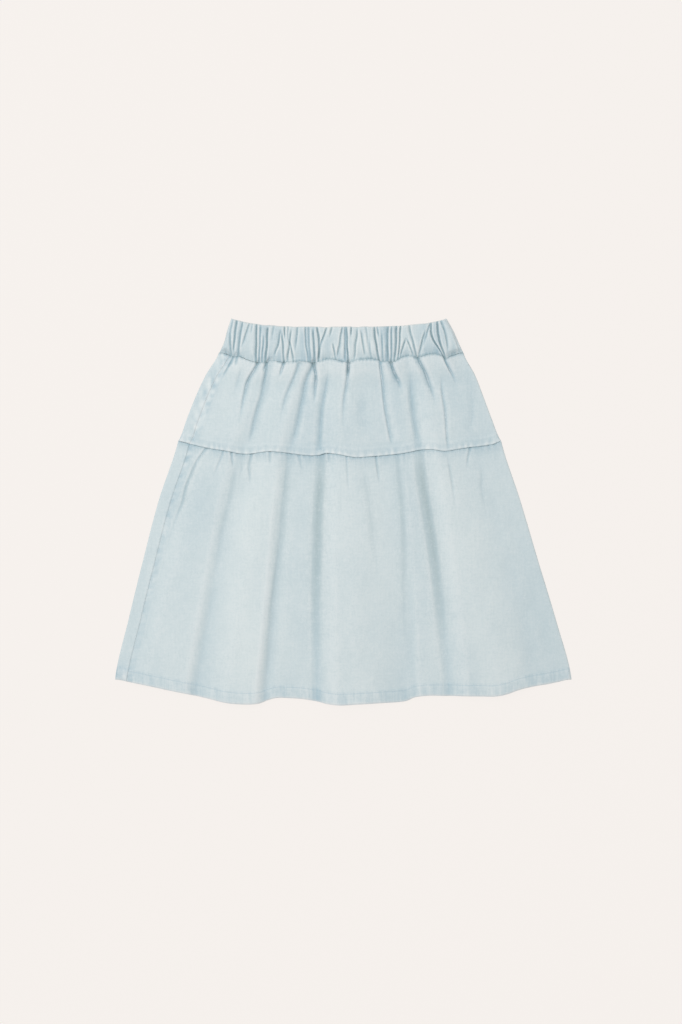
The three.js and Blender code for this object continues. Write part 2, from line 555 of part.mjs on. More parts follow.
const upperFront = { columns: frontColumns(upperFrontPairs, 0), rows: UPPER_ROWS, start: 0, isFront: true };
const lowerFront = { columns: frontColumns(lowerFrontPairs, 1), rows: lowerRows, start: 1, isFront: true };
const upperBack = { columns: backColumns(upperBackPairs, 0, UPPER_BACK_FOLDS), rows: UPPER_ROWS, start: 0 };
const lowerBack = { columns: backColumns(lowerBackPairs, 1, LOWER_BACK_FOLDS), rows: lowerRows, start: 1 };

const skirt = new THREE.Group();
skirt.add(
  part("waistband_front", bandGeometry(BAND_GROOVES, front, frontBandHeight, 1), BAND_DENIM),
  part("waistband_back", bandGeometry(backBandGrooves, back, backBandHeight, -1), BAND_DENIM),
  part("upper_tier_front", panel(upperFront), PALE_DENIM),
  part("upper_tier_back", panel(upperBack), PALE_DENIM),
  part("lower_tier_front", panel(lowerFront), PALE_DENIM),
  part("lower_tier_back", panel(lowerBack), PALE_DENIM),
);

// The origin is the middle of the footprint.
const middle = new THREE.Box3().setFromObject(skirt).getCenter(new THREE.Vector3());
skirt.position.set(-middle.x, -middle.y, 0);

export default skirt;
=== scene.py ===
"""A two-tier pull-on denim skirt, laid flat on its back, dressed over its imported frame.

The skirt is made from six pieces of cloth: two halves of a gathered elastic waistband, and a front and a back
panel for each tier. Each piece is a closed shell of cloth whose creases, gathers and seam puckers come from short
tables. Tables are in millimetres, or in shares of the width; meshes are in metres. `t` runs down the garment: 0 at
the waistband's seam, 1 at the seam between the tiers, 2 at the hem. `u` runs across it from the left edge to the right.
"""

import logging
import math
from abc import ABC, abstractmethod
from dataclasses import dataclass, field
from enum import Enum, IntEnum
from functools import reduce
from typing import Any, Callable, Iterable, Sequence, Union

import bpy
import numpy as np
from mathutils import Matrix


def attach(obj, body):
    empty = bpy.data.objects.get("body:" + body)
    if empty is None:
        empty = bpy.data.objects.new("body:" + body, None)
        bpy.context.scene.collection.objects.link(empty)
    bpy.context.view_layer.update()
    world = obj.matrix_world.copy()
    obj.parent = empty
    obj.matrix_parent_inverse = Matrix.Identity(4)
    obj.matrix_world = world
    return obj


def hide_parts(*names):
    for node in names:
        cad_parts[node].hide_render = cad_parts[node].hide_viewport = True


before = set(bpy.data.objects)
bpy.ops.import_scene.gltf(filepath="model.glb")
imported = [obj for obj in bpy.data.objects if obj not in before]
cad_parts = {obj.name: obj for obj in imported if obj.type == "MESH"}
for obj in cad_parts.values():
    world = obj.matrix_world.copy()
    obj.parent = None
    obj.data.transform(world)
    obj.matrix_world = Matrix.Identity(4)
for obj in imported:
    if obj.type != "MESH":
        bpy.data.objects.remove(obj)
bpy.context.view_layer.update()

MM = 0.001
BODY = "root"
LOG = logging.getLogger("skirt")
Array = np.ndarray
Amount = Union[Array, float]
Colour = tuple[float, float, float, float]
Operand = Union["Term", float]
Paint = Union["Term", Colour]
Sockets = dict[Union[str, int], Any]
LATTICE = 256  # cells each way before an unevenness repeats
STITCH_ROW = 12.6  # from the hem's edge to its row of stitches, mm
STITCH_GROOVE = 0.42  # how far the row pulls the underside up, mm


class Face(Enum):
    """Which side of the garment a panel belongs to."""

    FRONT = "front"
    BACK = "back"


class Tier(Enum):
    """Which tier a panel belongs to, by the t that it starts at."""

    UPPER = 0
    LOWER = 1


class Stretch(IntEnum):
    """Which stretch of a panel a column belongs to: its own face, the turned side edge, or what has come round it."""

    FACE = 0
    EDGE = 1
    WRAP = 2


# ---- Curves and noise --------------------------------------------------------------------------------


def ease(x: Array) -> Array:
    """A smooth step.

    Args:
        x: Values; the step runs from 0 to 1.

    Returns:
        0 below the step, 1 above it.
    """
    q = np.clip(x, 0.0, 1.0)
    return q * q * (3 - 2 * q)


def rise(x: Array) -> Array:
    """A step that starts sharply, as at the foot of a fold, and rounds over at its top.

    Args:
        x: Values; the step runs from 0 to 1.

    Returns:
        0 below the step, 1 above it.
    """
    q = np.clip(x, 0.0, 1.0)
    return q * (2 - q)


def fall(distance: Array, reach: Amount, start: float = 0.0) -> Array:
    """1 up to `start` from a line, then smoothly down to 0 over `reach`."""
    return 1 - ease((distance - start) / reach)


def soft_spot(x: Array, place: float, reach: float) -> Array:
    """1 at a place, and softly down to 0 on both sides: about a third is left at `reach` from it."""
    return np.exp(-(((x - place) / reach) ** 2))


def through(values: Sequence[float], t: Amount) -> Array:
    """A smooth curve through evenly spaced values.

    Args:
        values: The values, at 0, 1, 2 and so on.
        t: Where to read the curve.

    Returns:
        The curve's value at each t.
    """
    v = np.asarray(values, float)
    last = len(v) - 1
    i = np.clip(np.floor(t).astype(int), 0, last - 1)
    q = t - i
    a, b, c, d = (v[np.clip(i + k, 0, last)] for k in (-1, 0, 1, 2))
    return b + 0.5 * q * (c - a + q * (2 * a - 5 * b + 4 * c - d + q * (3 * (b - c) + d - a)))


def blur(values: Array, radius: tuple[int, int]) -> Array:
    """Averages a grid of values over a box, twice over.

    Args:
        values: The grid.
        radius: Cells on each side, down and across.

    Returns:
        The averaged grid.
    """
    out = values
    for _ in range(2):
        for axis, r in enumerate(radius):
            if r < 1:
                continue
            pad = [(r + 1, r) if a == axis else (0, 0) for a in (0, 1)]
            total = np.cumsum(np.pad(out, pad, mode="edge"), axis=axis)
            upper, lower = [slice(None)] * 2, [slice(None)] * 2
            upper[axis], lower[axis] = slice(2 * r + 1, None), slice(None, -2 * r - 1)
            out = (total[tuple(upper)] - total[tuple(lower)]) / (2 * r + 1)
    return out


def outward(points: Array) -> Array:
    """Outward normals of a face.

    Args:
        points: Its grid of points, rows by columns by 3.

    Returns:
        A unit normal for each point.
    """
    normal = np.cross(np.gradient(points, axis=0), np.gradient(points, axis=1))
    return normal / np.maximum(np.linalg.norm(normal, axis=2, keepdims=True), 1e-9)


@dataclass(frozen=True)
class Unevenness:
    """Smooth random variation over the cloth, the same on each run.

    Attributes:
        seed: Which variation.
        across: Size of its patches across the cloth, mm.
        down: Size of its patches down the cloth, mm.
    """

    seed: int
    across: float
    down: float

    def at(self, x: Array, y: Array) -> Array:
        """Reads the variation.

        Args:
            x: Places across the cloth, mm.
            y: Places down the cloth, mm.

        Returns:
            Values from -1 to 1.
        """
        lattice = np.random.default_rng(self.seed).uniform(-1, 1, (LATTICE + 1, LATTICE + 1))
        p, q = x / self.across + LATTICE / 4, y / self.down + LATTICE / 4
        i, j = np.floor(p).astype(int), np.floor(q).astype(int)
        a, b = ease(p - i), ease(q - j)
        i, j = i % LATTICE, j % LATTICE
        near = lattice[j, i] * (1 - a) + lattice[j, i + 1] * a
        far = lattice[j + 1, i] * (1 - a) + lattice[j + 1, i + 1] * a
        return near * (1 - b) + far * b


SEAM_TICKS = Unevenness(59, 4.5, 30)  # of the gathers along the band seam
SIDE_BREAKS = Unevenness(58, 40, 7)  # of the left side seam


def seam_share(x: Array) -> Array:
    """How strongly the band seam shows at x, 0 to 1."""
    return np.clip(0.5 + 0.9 * SEAM_TICKS.at(x, 0 * x), 0, 1)


# ---- Creases and folds -------------------------------------------------------------------------------


@dataclass(frozen=True)
class Crease:
    """A crease in a panel, sharp at its bottom.

    Attributes:
        places: Where it runs, evenly spaced from its start to its end: shares of the width, or mm in the waistband.
        start: How far down it starts.
        end: How far down it ends.
        depth: mm.
        left: Width of its left flank, mm.
        right: Width of its right flank, mm.
        fade: Shares of its length over which it begins and dies away.
        sharp: 1 for a pressed crease, 0 for a soft valley.
        core: Share of the depth that is in a narrow line at its bottom.
        core_width: Half the width of that line, mm.
    """

    places: tuple[float, ...]
    start: float
    end: float
    depth: float
    left: float
    right: float
    fade: tuple[float, float] = (0.15, 0.6)
    sharp: float = 0.7
    core: float = 0.35
    core_width: float = 2.2

    def sink(self, across: Array, down: Array, scale: Amount) -> Array:
        """How far the cloth sinks into this crease.

        Args:
            across: Places across the panel, in the unit of `places`.
            down: Places down the panel, in the unit of `start`.
            scale: mm in one unit across.

        Returns:
            Depths, mm.
        """
        along = (down - self.start) / (self.end - self.start)
        inside = (along >= 0) & (along <= 1)
        begin = ease(along / self.fade[0]) if self.fade[0] > 0 else 1.0
        die = ease((1 - along) / self.fade[1]) if self.fade[1] > 0 else 1.0
        centre = through(self.places, np.clip(along, 0, 1) * (len(self.places) - 1))
        away = (across - centre) * scale
        q = np.clip(np.abs(away) / np.where(away < 0, self.left, self.right), 0, 1)
        cusp, bell = (1 - q) ** 2, (1 - q) ** 2 * (1 + 2 * q)
        flank = self.sharp * cusp + (1 - self.sharp) * bell
        line = np.clip(1 - np.abs(away) / self.core_width, 0, 1) ** 2
        return self.depth * inside * begin * die * ((1 - self.core) * flank + self.core * line)


@dataclass(frozen=True)
class Ridge:
    """A broad fold that stands up from the waistband to the hem.

    Attributes:
        left: Its left foot, shares of the width, evenly spaced from the band seam to the hem.
        right: Its right foot, the same way.
        height: Its height at the band seam, tier seam and hem, mm.
        left_flank: Width of its left flank, mm.
        right_flank: Width of its right flank, mm.
        steep: How sharply its left flank starts, 0 to 1.
    """

    left: tuple[float, ...]
    right: tuple[float, ...]
    height: tuple[float, float, float]
    left_flank: float
    right_flank: float
    steep: float = 0.6

    def stand(self, u: Array, t: Array, width: Array) -> Array:
        """How high this fold stands.

        Args:
            u: Places across, shares.
            t: Places down.
            width: Width of the garment at t, mm.

        Returns:
            Heights, mm.
        """
        from_left = (u - through(self.left, t * (len(self.left) - 1) / 2)) * width / self.left_flank
        from_right = (through(self.right, t * (len(self.right) - 1) / 2) - u) * width / self.right_flank
        flank = self.steep * rise(from_left) + (1 - self.steep) * ease(from_left)
        return through(self.height, t) * flank * ease(from_right)


@dataclass(frozen=True)
class Bow:
    """A seam or hem that bows down between the two side edges.

    Attributes:
        middle: Its level half way across, mm.
        corner_rise: How much higher its ends are, mm.
        power: How late it turns up.
    """

    middle: float
    corner_rise: float
    power: float

    def at(self, u: Array) -> Array:
        """Its level at u, mm."""
        return self.middle + self.corner_rise * np.abs(2 * u - 1) ** self.power


@dataclass(frozen=True)
class SeamLine:
    """A seam or hem that runs unevenly.

    Attributes:
        points: What it runs through, from left to right: a share of the width, and the level there in mm.
    """

    points: tuple[tuple[float, float], ...]

    def at(self, u: Array) -> Array:
        """Its level, on a smooth curve through the points.

        Args:
            u: Places across, shares.

        Returns:
            Levels, mm.
        """
        x, y = np.asarray(self.points).T
        slope = np.gradient(y, x)
        i = np.clip(np.searchsorted(x, u) - 1, 0, len(x) - 2)
        h = x[i + 1] - x[i]
        q = np.clip((u - x[i]) / h, -0.5, 1.5)
        a, b = y[i], y[i + 1]
        return (
            (1 + 2 * q) * (1 - q) ** 2 * a
            + q * (1 - q) ** 2 * h * slope[i]
            + q * q * (3 - 2 * q) * b
            - q * q * (1 - q) * h * slope[i + 1]
        )


@dataclass(frozen=True)
class Puckers:
    """A row of small gathers along a seam.

    Attributes:
        spacing: From one to the next, mm.
        height: mm.
        reach: How far from the seam they go, mm.
        seed: Their unevenness.
        lean: How far each leans sideways over its reach, mm.
    """

    spacing: float
    height: float
    reach: float
    seed: int
    lean: float = 0.0

    def stand(self, along: Array, off: Array) -> Array:
        """How high the puckers stand.

        Args:
            along: Places along the seam, mm.
            off: Distances from the seam, mm.

        Returns:
            Heights from 0 to `height`, mm.
        """
        drift = Unevenness(self.seed, self.spacing * 2.6, 40.0).at(along, off * 0.2)
        size = 0.65 + 0.35 * Unevenness(self.seed + 1, self.spacing * 1.7, 40.0).at(along, off * 0.2)
        phase = (along + self.lean * off / self.reach) / self.spacing + 0.55 * drift
        wave = 0.5 + 0.5 * np.cos(2 * np.pi * phase)
        return self.height * size * wave * fall(off, self.reach)


# ---- The garment's layout ----------------------------------------------------------------------------


@dataclass(frozen=True)
class Layout:
    """The garment seen from above, as it lies: its edges, seams and hem, mm.

    Attributes:
        shift: From this layout to the frame.
        tier_lengths: Length of each tier at its middle.
        edge_radius: Radius of the cloth's outer face where it turns round a side edge.
        left_edge: X of the left side edge, evenly spaced from the band seam to the hem.
        right_edge: X of the right side edge, the same way.
        left_wrap: How far the back panel comes round on top: at the band seam, the tier seam and the hem.
        right_wrap: How far the front panel goes round underneath, the same way.
        waist_left: X of the left end of the band's top edge.
        waist_right: X of its right end.
        seam_left: X of the left end of the band seam.
        seam_right: X of its right end.
        waist: The band's top edge.
        back_band_seam: The band seam behind.
        back_tier_seam: The tier seam behind.
        back_hem: The hem behind.
        back_band_lift: How much higher the band seam lies behind, away from the edges.
        front_band_seam: The band seam in front.
        front_tier_seam: The tier seam in front.
        front_hem: The hem in front.
    """

    shift: tuple[float, float] = (-2.25, 0.164)
    tier_lengths: tuple[float, float] = (110.5, 291.5)
    edge_radius: float = 1.95
    left_edge: tuple[float, ...] = (-143.5, -158.7, -170.8, -181.1, -191.2, -214, -232.2, -249.3, -265)
    right_edge: tuple[float, ...] = (143, 156.4, 166.5, 176.2, 187.2, 209.6, 230.2, 251.2, 269.5)
    left_wrap: tuple[float, ...] = (12, 13.5, 14)
    right_wrap: tuple[float, ...] = (6, 10, 12)
    waist_left: float = -128.8
    waist_right: float = 122.8
    seam_left: float = -143.0
    seam_right: float = 142.6
    waist: Bow = Bow(216.2, 10, 4)
    back_band_seam: Bow = Bow(176, 10, 3)
    back_tier_seam: Bow = Bow(65.5, 17, 2.2)
    back_hem: Bow = Bow(-217, 21, 1.7)
    back_band_lift: float = 2.0
    front_band_seam: SeamLine = SeamLine(
        (
            (-0.01, 187.5), (0.02, 185.6), (0.055, 181.4), (0.086, 180.8), (0.116, 177.3), (0.151, 174.4),
            (0.188, 174.4), (0.218, 176.3), (0.261, 174.2), (0.294, 174.9), (0.331, 175.6), (0.381, 174.2),
            (0.407, 174.9), (0.437, 178.3), (0.463, 178.3), (0.481, 177.1), (0.528, 174.2), (0.563, 177.3),
            (0.6, 178.5), (0.64, 177.8), (0.661, 175.8), (0.685, 175.6), (0.712, 174.9), (0.737, 178.5),
            (0.757, 181.4), (0.778, 182), (0.807, 180.5), (0.828, 181.5), (0.854, 183.7), (0.885, 184.2),
            (0.909, 182.2), (0.926, 179), (0.946, 181.5), (0.966, 183.7), (1.01, 187.5),
        )
    )
    front_tier_seam: SeamLine = SeamLine(
        (
            (-0.01, 84), (0.072, 75.8), (0.104, 73.4), (0.156, 70.3), (0.193, 67.6), (0.223, 67.4),
            (0.25, 68.9), (0.275, 70.1), (0.328, 68.9), (0.38, 66.3), (0.412, 65.3), (0.438, 66.1),
            (0.455, 68), (0.481, 67.5), (0.517, 65.2), (0.54, 63.5), (0.6, 64.5), (0.652, 66.1),
            (0.702, 68.4), (0.754, 72.2), (0.787, 72.5), (0.824, 70.6), (0.856, 72.3), (0.896, 74.8),
            (0.932, 76.2), (1.01, 81),
        )
    )
    front_hem: SeamLine = SeamLine(
        (
            (-0.01, -194.5), (0.028, -198.9), (0.073, -203.6), (0.118, -208.8), (0.162, -213.6), (0.208, -219),
            (0.24, -223), (0.275, -224.9), (0.3, -225), (0.32, -223.6), (0.334, -220.6), (0.348, -218.4),
            (0.388, -218.2), (0.41, -219), (0.44, -221.6), (0.465, -224.6), (0.49, -226), (0.53, -225),
            (0.59, -223.4), (0.62, -222.6), (0.64, -221), (0.655, -217.4), (0.675, -215.6), (0.725, -215.3),
            (0.8, -215.6), (0.838, -215.4), (0.86, -212.8), (0.882, -208.6), (0.91, -205), (0.95, -201.4),
            (0.972, -199), (1.01, -194.5),
        )
    )

    def left(self, t: Array) -> Array:
        """X of the left side edge, mm."""
        return through(self.left_edge, t * 4)

    def right(self, t: Array) -> Array:
        """X of the right side edge, mm."""
        return through(self.right_edge, t * 4)

    def width(self, t: Array) -> Array:
        """Width of the garment, mm."""
        return self.right(t) - self.left(t)

    def band_seam(self, u: Array, face: Face) -> Array:
        """Level of the waistband's seam, mm."""
        back = self.back_band_seam.at(u) + self.back_band_lift * ease(np.minimum(u, 1 - u) / 0.06)
        return back if face is Face.BACK else self.blend_ends(u, self.front_band_seam.at(u), back)

    def tier_seam(self, u: Array, face: Face) -> Array:
        """Level of the seam between the tiers, mm."""
        back = self.back_tier_seam.at(u)
        return back if face is Face.BACK else self.blend_ends(u, self.front_tier_seam.at(u), back)

    def hem(self, u: Array, face: Face) -> Array:
        """Level of the hem, mm."""
        back = self.back_hem.at(u)
        return back if face is Face.BACK else self.blend_ends(u, self.front_hem.at(u), back)

    @staticmethod
    def blend_ends(u: Array, front: Array, back: Array) -> Array:
        """Brings a front line onto the back one at the side edges, where the cloth is continuous."""
        share = ease(np.minimum(u, 1 - u) / 0.03)
        return front * share + back * (1 - share)

    def level(self, u: Array, t: Array, face: Face) -> Array:
        """Y of a place on the garment.

        Args:
            u: Places across, shares.
            t: Places down.
            face: Front or back.

        Returns:
            Levels, mm.
        """
        band, tier, hem = self.band_seam(u, face), self.tier_seam(u, face), self.hem(u, face)
        return np.where(t <= 1, band + (tier - band) * t, tier + (hem - tier) * (t - 1))


@dataclass(frozen=True)
class Relief:
    """Heights of the front above its flat side edges, from its folds, creases and gathers.

    Attributes:
        layout: The garment's layout.
        edge_ramp: The relief dies away over this distance from a side edge, mm.
        waist_loft: How far the gathered cloth stands up below the band, mm.
        waist_loft_reach: Share of the upper tier over which that dies away.
        tier_loft: How far the rest of the upper tier stands up, mm.
        tier_depth: How far its creases may sink below that, mm.
        ridges: The broad folds.
        upper_creases: The upper tier's creases and gathers.
        lower_creases: The lower tier's.
    """

    layout: Layout
    edge_ramp: float = 26.0
    waist_loft: float = 4.4
    waist_loft_reach: float = 0.3
    tier_loft: float = 1.1
    tier_depth: float = 0.9
    # left, right, height, left_flank, right_flank, steep
    ridges: tuple[Ridge, ...] = (
        Ridge((0.02, 0.02), (0.2, 0.216, 0.2, 0.19, 0.182), (0.6, 2.4, 4.4), 30, 16, 0.2),
        Ridge((0.2, 0.213, 0.197, 0.187, 0.178), (0.39, 0.369, 0.351, 0.345, 0.334), (1.8, 3.8, 7.0), 40, 16, 0.3),
        Ridge((0.382, 0.362, 0.346, 0.34, 0.33), (0.445, 0.44, 0.44, 0.44, 0.443), (0.3, 0.7, 1.2), 14, 10, 0.2),
        Ridge((0.453, 0.441, 0.438, 0.437, 0.442), (0.66, 0.658, 0.675, 0.668, 0.652), (2.6, 5.2, 9.6), 26, 70, 0.6),
        Ridge((0.66, 0.658, 0.675, 0.668, 0.652), (0.775, 0.754, 0.743, 0.743, 0.732), (0.8, 1.0, 1.6), 10, 10, 0.3),
        Ridge((0.768, 0.752, 0.746, 0.745, 0.733), (0.965, 0.965), (2.6, 5.4, 7.6), 24, 70, 0.6),
        Ridge((0.92, 0.92), (0.985, 0.985), (0.3, 0.5, 0.8), 18, 22, 0.2),
    )
    # places, start, end, depth, left, right, fade, sharp, core
    upper_creases: tuple[Crease, ...] = (
        Crease((0.042, 0.0412, 0.0406), 0.0, 0.145, 1.4, 3, 4, (0.0, 0.6)),
        Crease((0.0598, 0.0582, 0.0585, 0.0636), 0.0, 0.26, 3.0, 3, 5, (0.0, 0.5)),
        Crease((0.074, 0.0844), 0.0, 0.123, 2.2, 3, 4, (0.0, 0.7)),
        Crease((0.109, 0.118, 0.122), 0.075, 0.44, 0.8, 4, 6, (0.2, 0.6), 0.3, 0.3),
        Crease((0.1595, 0.1506, 0.1568, 0.1637, 0.173), 0.0, 0.75, 3.6, 3.5, 8, (0.0, 0.8), 0.6),
        Crease((0.198, 0.2115, 0.2194, 0.2163, 0.2149, 0.2118), 0.0, 0.92, 3.2, 5, 11, (0.0, 0.25), 0.4, 0.4),
        Crease((0.198, 0.1935, 0.201), 0.0, 0.133, 2.0, 3, 3, (0.0, 0.7)),
        Crease((0.2656, 0.2639, 0.266), 0.0, 0.184, 3.4, 3.5, 4, (0.0, 0.7), 0.7, 0.4),
        Crease((0.3285, 0.3216, 0.3081, 0.3038, 0.3007), 0.0, 0.76, 2.4, 5, 10, (0.05, 0.7), 0.3),
        Crease((0.387, 0.3695, 0.3671, 0.3633, 0.3584, 0.3467), 0.0, 0.94, 2.6, 6, 7, (0.0, 0.2), 0.3),
        Crease((0.388, 0.4053, 0.4086, 0.41), 0.0, 0.49, 4.2, 6, 4, (0.0, 0.6), 0.7, 0.4),
        Crease((0.4525, 0.4473, 0.4395, 0.4378, 0.4366), 0.097, 0.95, 2.6, 8, 6, (0.3, 0.0), 0.5, 0.4),
        Crease((0.531, 0.524, 0.5151, 0.5131, 0.5186), 0.0, 0.81, 2.6, 4, 7, (0.0, 0.8), 0.5),
        Crease((0.5303, 0.5263), 0.0, 0.185, 3.8, 4.5, 3, (0.0, 0.7)),
        Crease((0.5803, 0.578, 0.586), 0.263, 0.83, 0.9, 12, 12, (0.4, 0.4), 0.0, 0.0),
        Crease((0.6577, 0.6564, 0.6567, 0.6619, 0.6661), 0.0, 0.92, 3.0, 2.5, 8, (0.0, 0.15), 0.8, 0.4),
        Crease((0.7026, 0.7091, 0.7184, 0.72), 0.0, 0.35, 4.6, 9, 4.5, (0.0, 0.6), 0.5, 0.4),
        Crease((0.7693, 0.7556, 0.7508, 0.7489, 0.7467), 0.129, 1.02, 2.6, 6, 9, (0.4, 0.0), 0.4, 0.3),
        Crease((0.8123, 0.8223, 0.8258, 0.8312, 0.8293), 0.0, 0.57, 4.4, 8, 6, (0.0, 0.7), 0.4, 0.4),
        Crease((0.878, 0.8648, 0.8586, 0.8475, 0.8382), 0.17, 1.0, 1.9, 2.5, 6, (0.35, 0.15), 0.8),
        Crease((0.921, 0.9247, 0.925), 0.0, 0.31, 3.8, 4, 6, (0.0, 0.7), 0.7, 0.4),
        Crease((0.9777, 0.9718, 0.9581, 0.9378, 0.9046), 0.139, 0.9, 1.2, 8, 8, (0.2, 0.4), 0.2, 0.3),
    )
    # places, start, end, depth, left, right, fade, sharp, core
    lower_creases: tuple[Crease, ...] = (
        Crease((0.0857, 0.07, 0.064, 0.0612, 0.0634, 0.0584, 0.055, 0.0514), 1.0, 1.41, 1.9, 2.4, 5, (0.0, 0.6), 0.85),
        Crease((0.1405, 0.1342, 0.1297), 1.0, 1.12, 1.1, 3, 3, (0.0, 0.6), 0.7, 0.4),
        Crease((0.1656, 0.178), 1.0, 1.06, 1.8, 3, 3.5, (0.0, 0.4), 0.7, 0.4),
        Crease((0.1873, 0.1897, 0.185, 0.1824, 0.1832), 1.04, 1.56, 0.9, 5, 5, (0.1, 0.6), 0.3),
        Crease((0.1984, 0.2042, 0.2035), 1.0, 1.15, 1.2, 2.5, 3, (0.0, 0.7), 0.7, 0.4),
        Crease((0.2274, 0.2251, 0.2345, 0.2382), 1.0, 1.15, 2.4, 3, 3.5, (0.0, 0.75), 0.8, 0.4),
        Crease((0.2845, 0.29), 1.0, 1.06, 1.2, 3, 3, (0.0, 0.5), 0.7, 0.4),
        Crease((0.3433, 0.3426, 0.3434, 0.3353, 0.3287, 0.3286, 0.3305), 1.0, 2.0, 1.4, 4, 7, (0.0, 0.8), 0.4, 0.25),
        Crease((0.3746, 0.3805, 0.3883), 1.0, 1.07, 1.5, 3, 3, (0.0, 0.6), 0.7, 0.4),
        Crease((0.4399, 0.4386, 0.4382, 0.4361, 0.4398, 0.444), 1.0, 2.0, 2.3, 6, 10, (0.0, 0.75), 0.2, 0.15),
        Crease((0.4652, 0.4675), 1.0, 1.05, 1.1, 2.5, 3, (0.0, 0.7)),
        Crease((0.5208, 0.524, 0.527), 1.0, 1.18, 0.7, 1.8, 2.6, (0.0, 0.6), 0.9),
        Crease((0.5686, 0.5835, 0.5906, 0.6), 1.0, 1.54, 0.5, 8, 8, (0.2, 0.5), 0.2, 0.2),
        Crease((0.6118, 0.6157, 0.6174), 1.0, 1.14, 1.8, 2.4, 3.6, (0.0, 0.7), 0.8, 0.4),
        Crease((0.6758, 0.6745, 0.6692, 0.6592, 0.6502, 0.6497, 0.6466), 1.0, 2.0, 1.6, 3.5, 6, (0.0, 0.75), 0.5, 0.25),
        Crease((0.6986, 0.6978), 1.0, 1.05, 0.7, 2, 2, (0.0, 0.7)),
        Crease((0.7475, 0.7426, 0.7447, 0.7428, 0.7381, 0.7319, 0.7296), 1.0, 2.0, 2.5, 9, 7, (0.0, 0.75), 0.2, 0.15),
        Crease((0.8323, 0.8281, 0.82), 1.0, 1.26, 1.0, 3, 4, (0.3, 0.6), 0.5),
        Crease((0.903, 0.888, 0.8773), 1.0, 1.1, 1.4, 2.5, 3, (0.0, 0.7)),
        Crease((0.9244, 0.9065, 0.8991), 1.07, 1.28, 0.6, 4, 5, (0.3, 0.5), 0.3, 0.3),
        Crease((0.9616, 0.9545), 1.0, 1.05, 0.7, 2.5, 3, (0.0, 0.7)),
    )

    def broad(self, u: Array, t: Array) -> Array:
        """Heights of the broad folds alone, mm."""
        width = self.layout.width(t)
        return sum(ridge.stand(u, t, width) for ridge in self.ridges)

    def sunk(self, u: Array, t: Array) -> Array:
        """How far the creases and gathers sink below the broad folds.

        Args:
            u: Places across, shares.
            t: Places down.

        Returns:
            Depths, mm.
        """
        width = self.layout.width(t)
        upper = sum(crease.sink(u, np.minimum(t, 1.0), width) for crease in self.upper_creases)
        lower = sum(crease.sink(u, np.maximum(t, 1.0), width) for crease in self.lower_creases)
        return np.where(t <= 1, upper, lower)

    def front(self, u: Array, t: Array) -> Array:
        """Height of the front's outer face over its flat side edges.

        Args:
            u: Places across, shares.
            t: Places down.

        Returns:
            Heights, mm.
        """
        width = self.layout.width(t)
        level = self.layout.level(u, t, Face.FRONT)
        x = u * width
        in_upper = fall(t, 0.22, 0.8)
        loft = self.waist_loft * fall(t, self.waist_loft_reach) + self.tier_loft * in_upper
        room = self.tier_depth * in_upper
        soft = 0.45 * Unevenness(11, 34, 120).at(x, level) + 0.22 * Unevenness(12, 15, 60).at(x, level)
        soft = soft + 0.10 * Unevenness(13, 8, 14).at(x, level)
        near_edge = np.minimum(u, 1 - u) * width - self.layout.edge_radius
        height = loft + self.broad(u, t) - self.sunk(u, t) + room
        smooth_floor = 0.5 * (height + np.sqrt(height * height + 0.5)) - room
        return (smooth_floor + soft) * ease(near_edge / self.edge_ramp)


@dataclass(frozen=True)
class WashAndShadePatch:
    """A soft patch of bluer or paler cloth: some were left by washing, some are painted shade and painted light on the
    flanks of folds and on the right side.

    Attributes:
        u: Its middle across the garment, a share of the width.
        t: Its middle down the garment.
        wide: How far it goes across.
        long: How far it goes down.
        blue: How much bluer it is.
    """

    u: float
    t: float
    wide: float
    long: float
    blue: float

    def at(self, u: Array, t: Array) -> Array:
        """How much bluer the cloth is at a place."""
        return self.blue * soft_spot(u, self.u, self.wide) * soft_spot(t, self.t, self.long)


# ---- Cloth shells ------------------------------------------------------------------------------------


@dataclass
class WashAndShade:
    """How a piece of cloth has been washed, and the shade and highlights painted on it, at each of its points, 0 to 1.

    Attributes:
        blue: How blue it is: the blue that washing left, with painted shade in its hollows and creases, along its seams
            and on the right side.
        worn: How far it is rubbed white, with painted highlights on the crests of its folds and puckers and on rolled
            edges.
        deep: Painted shade: how dark the bottoms of its creases, its seams and the gaps between its puckers are
            painted.
    """

    blue: Array
    worn: Array
    deep: Array

    def add(self, blue: Amount = 0.0, worn: Amount = 0.0, deep: Amount = 0.0) -> None:
        """Adds to each of the three."""
        self.blue, self.worn, self.deep = self.blue + blue, self.worn + worn, self.deep + deep

    def changed(self, change: Callable[[Array], Array]) -> "WashAndShade":
        """The result of the same change to each of the three."""
        return WashAndShade(change(self.blue), change(self.worn), change(self.deep))


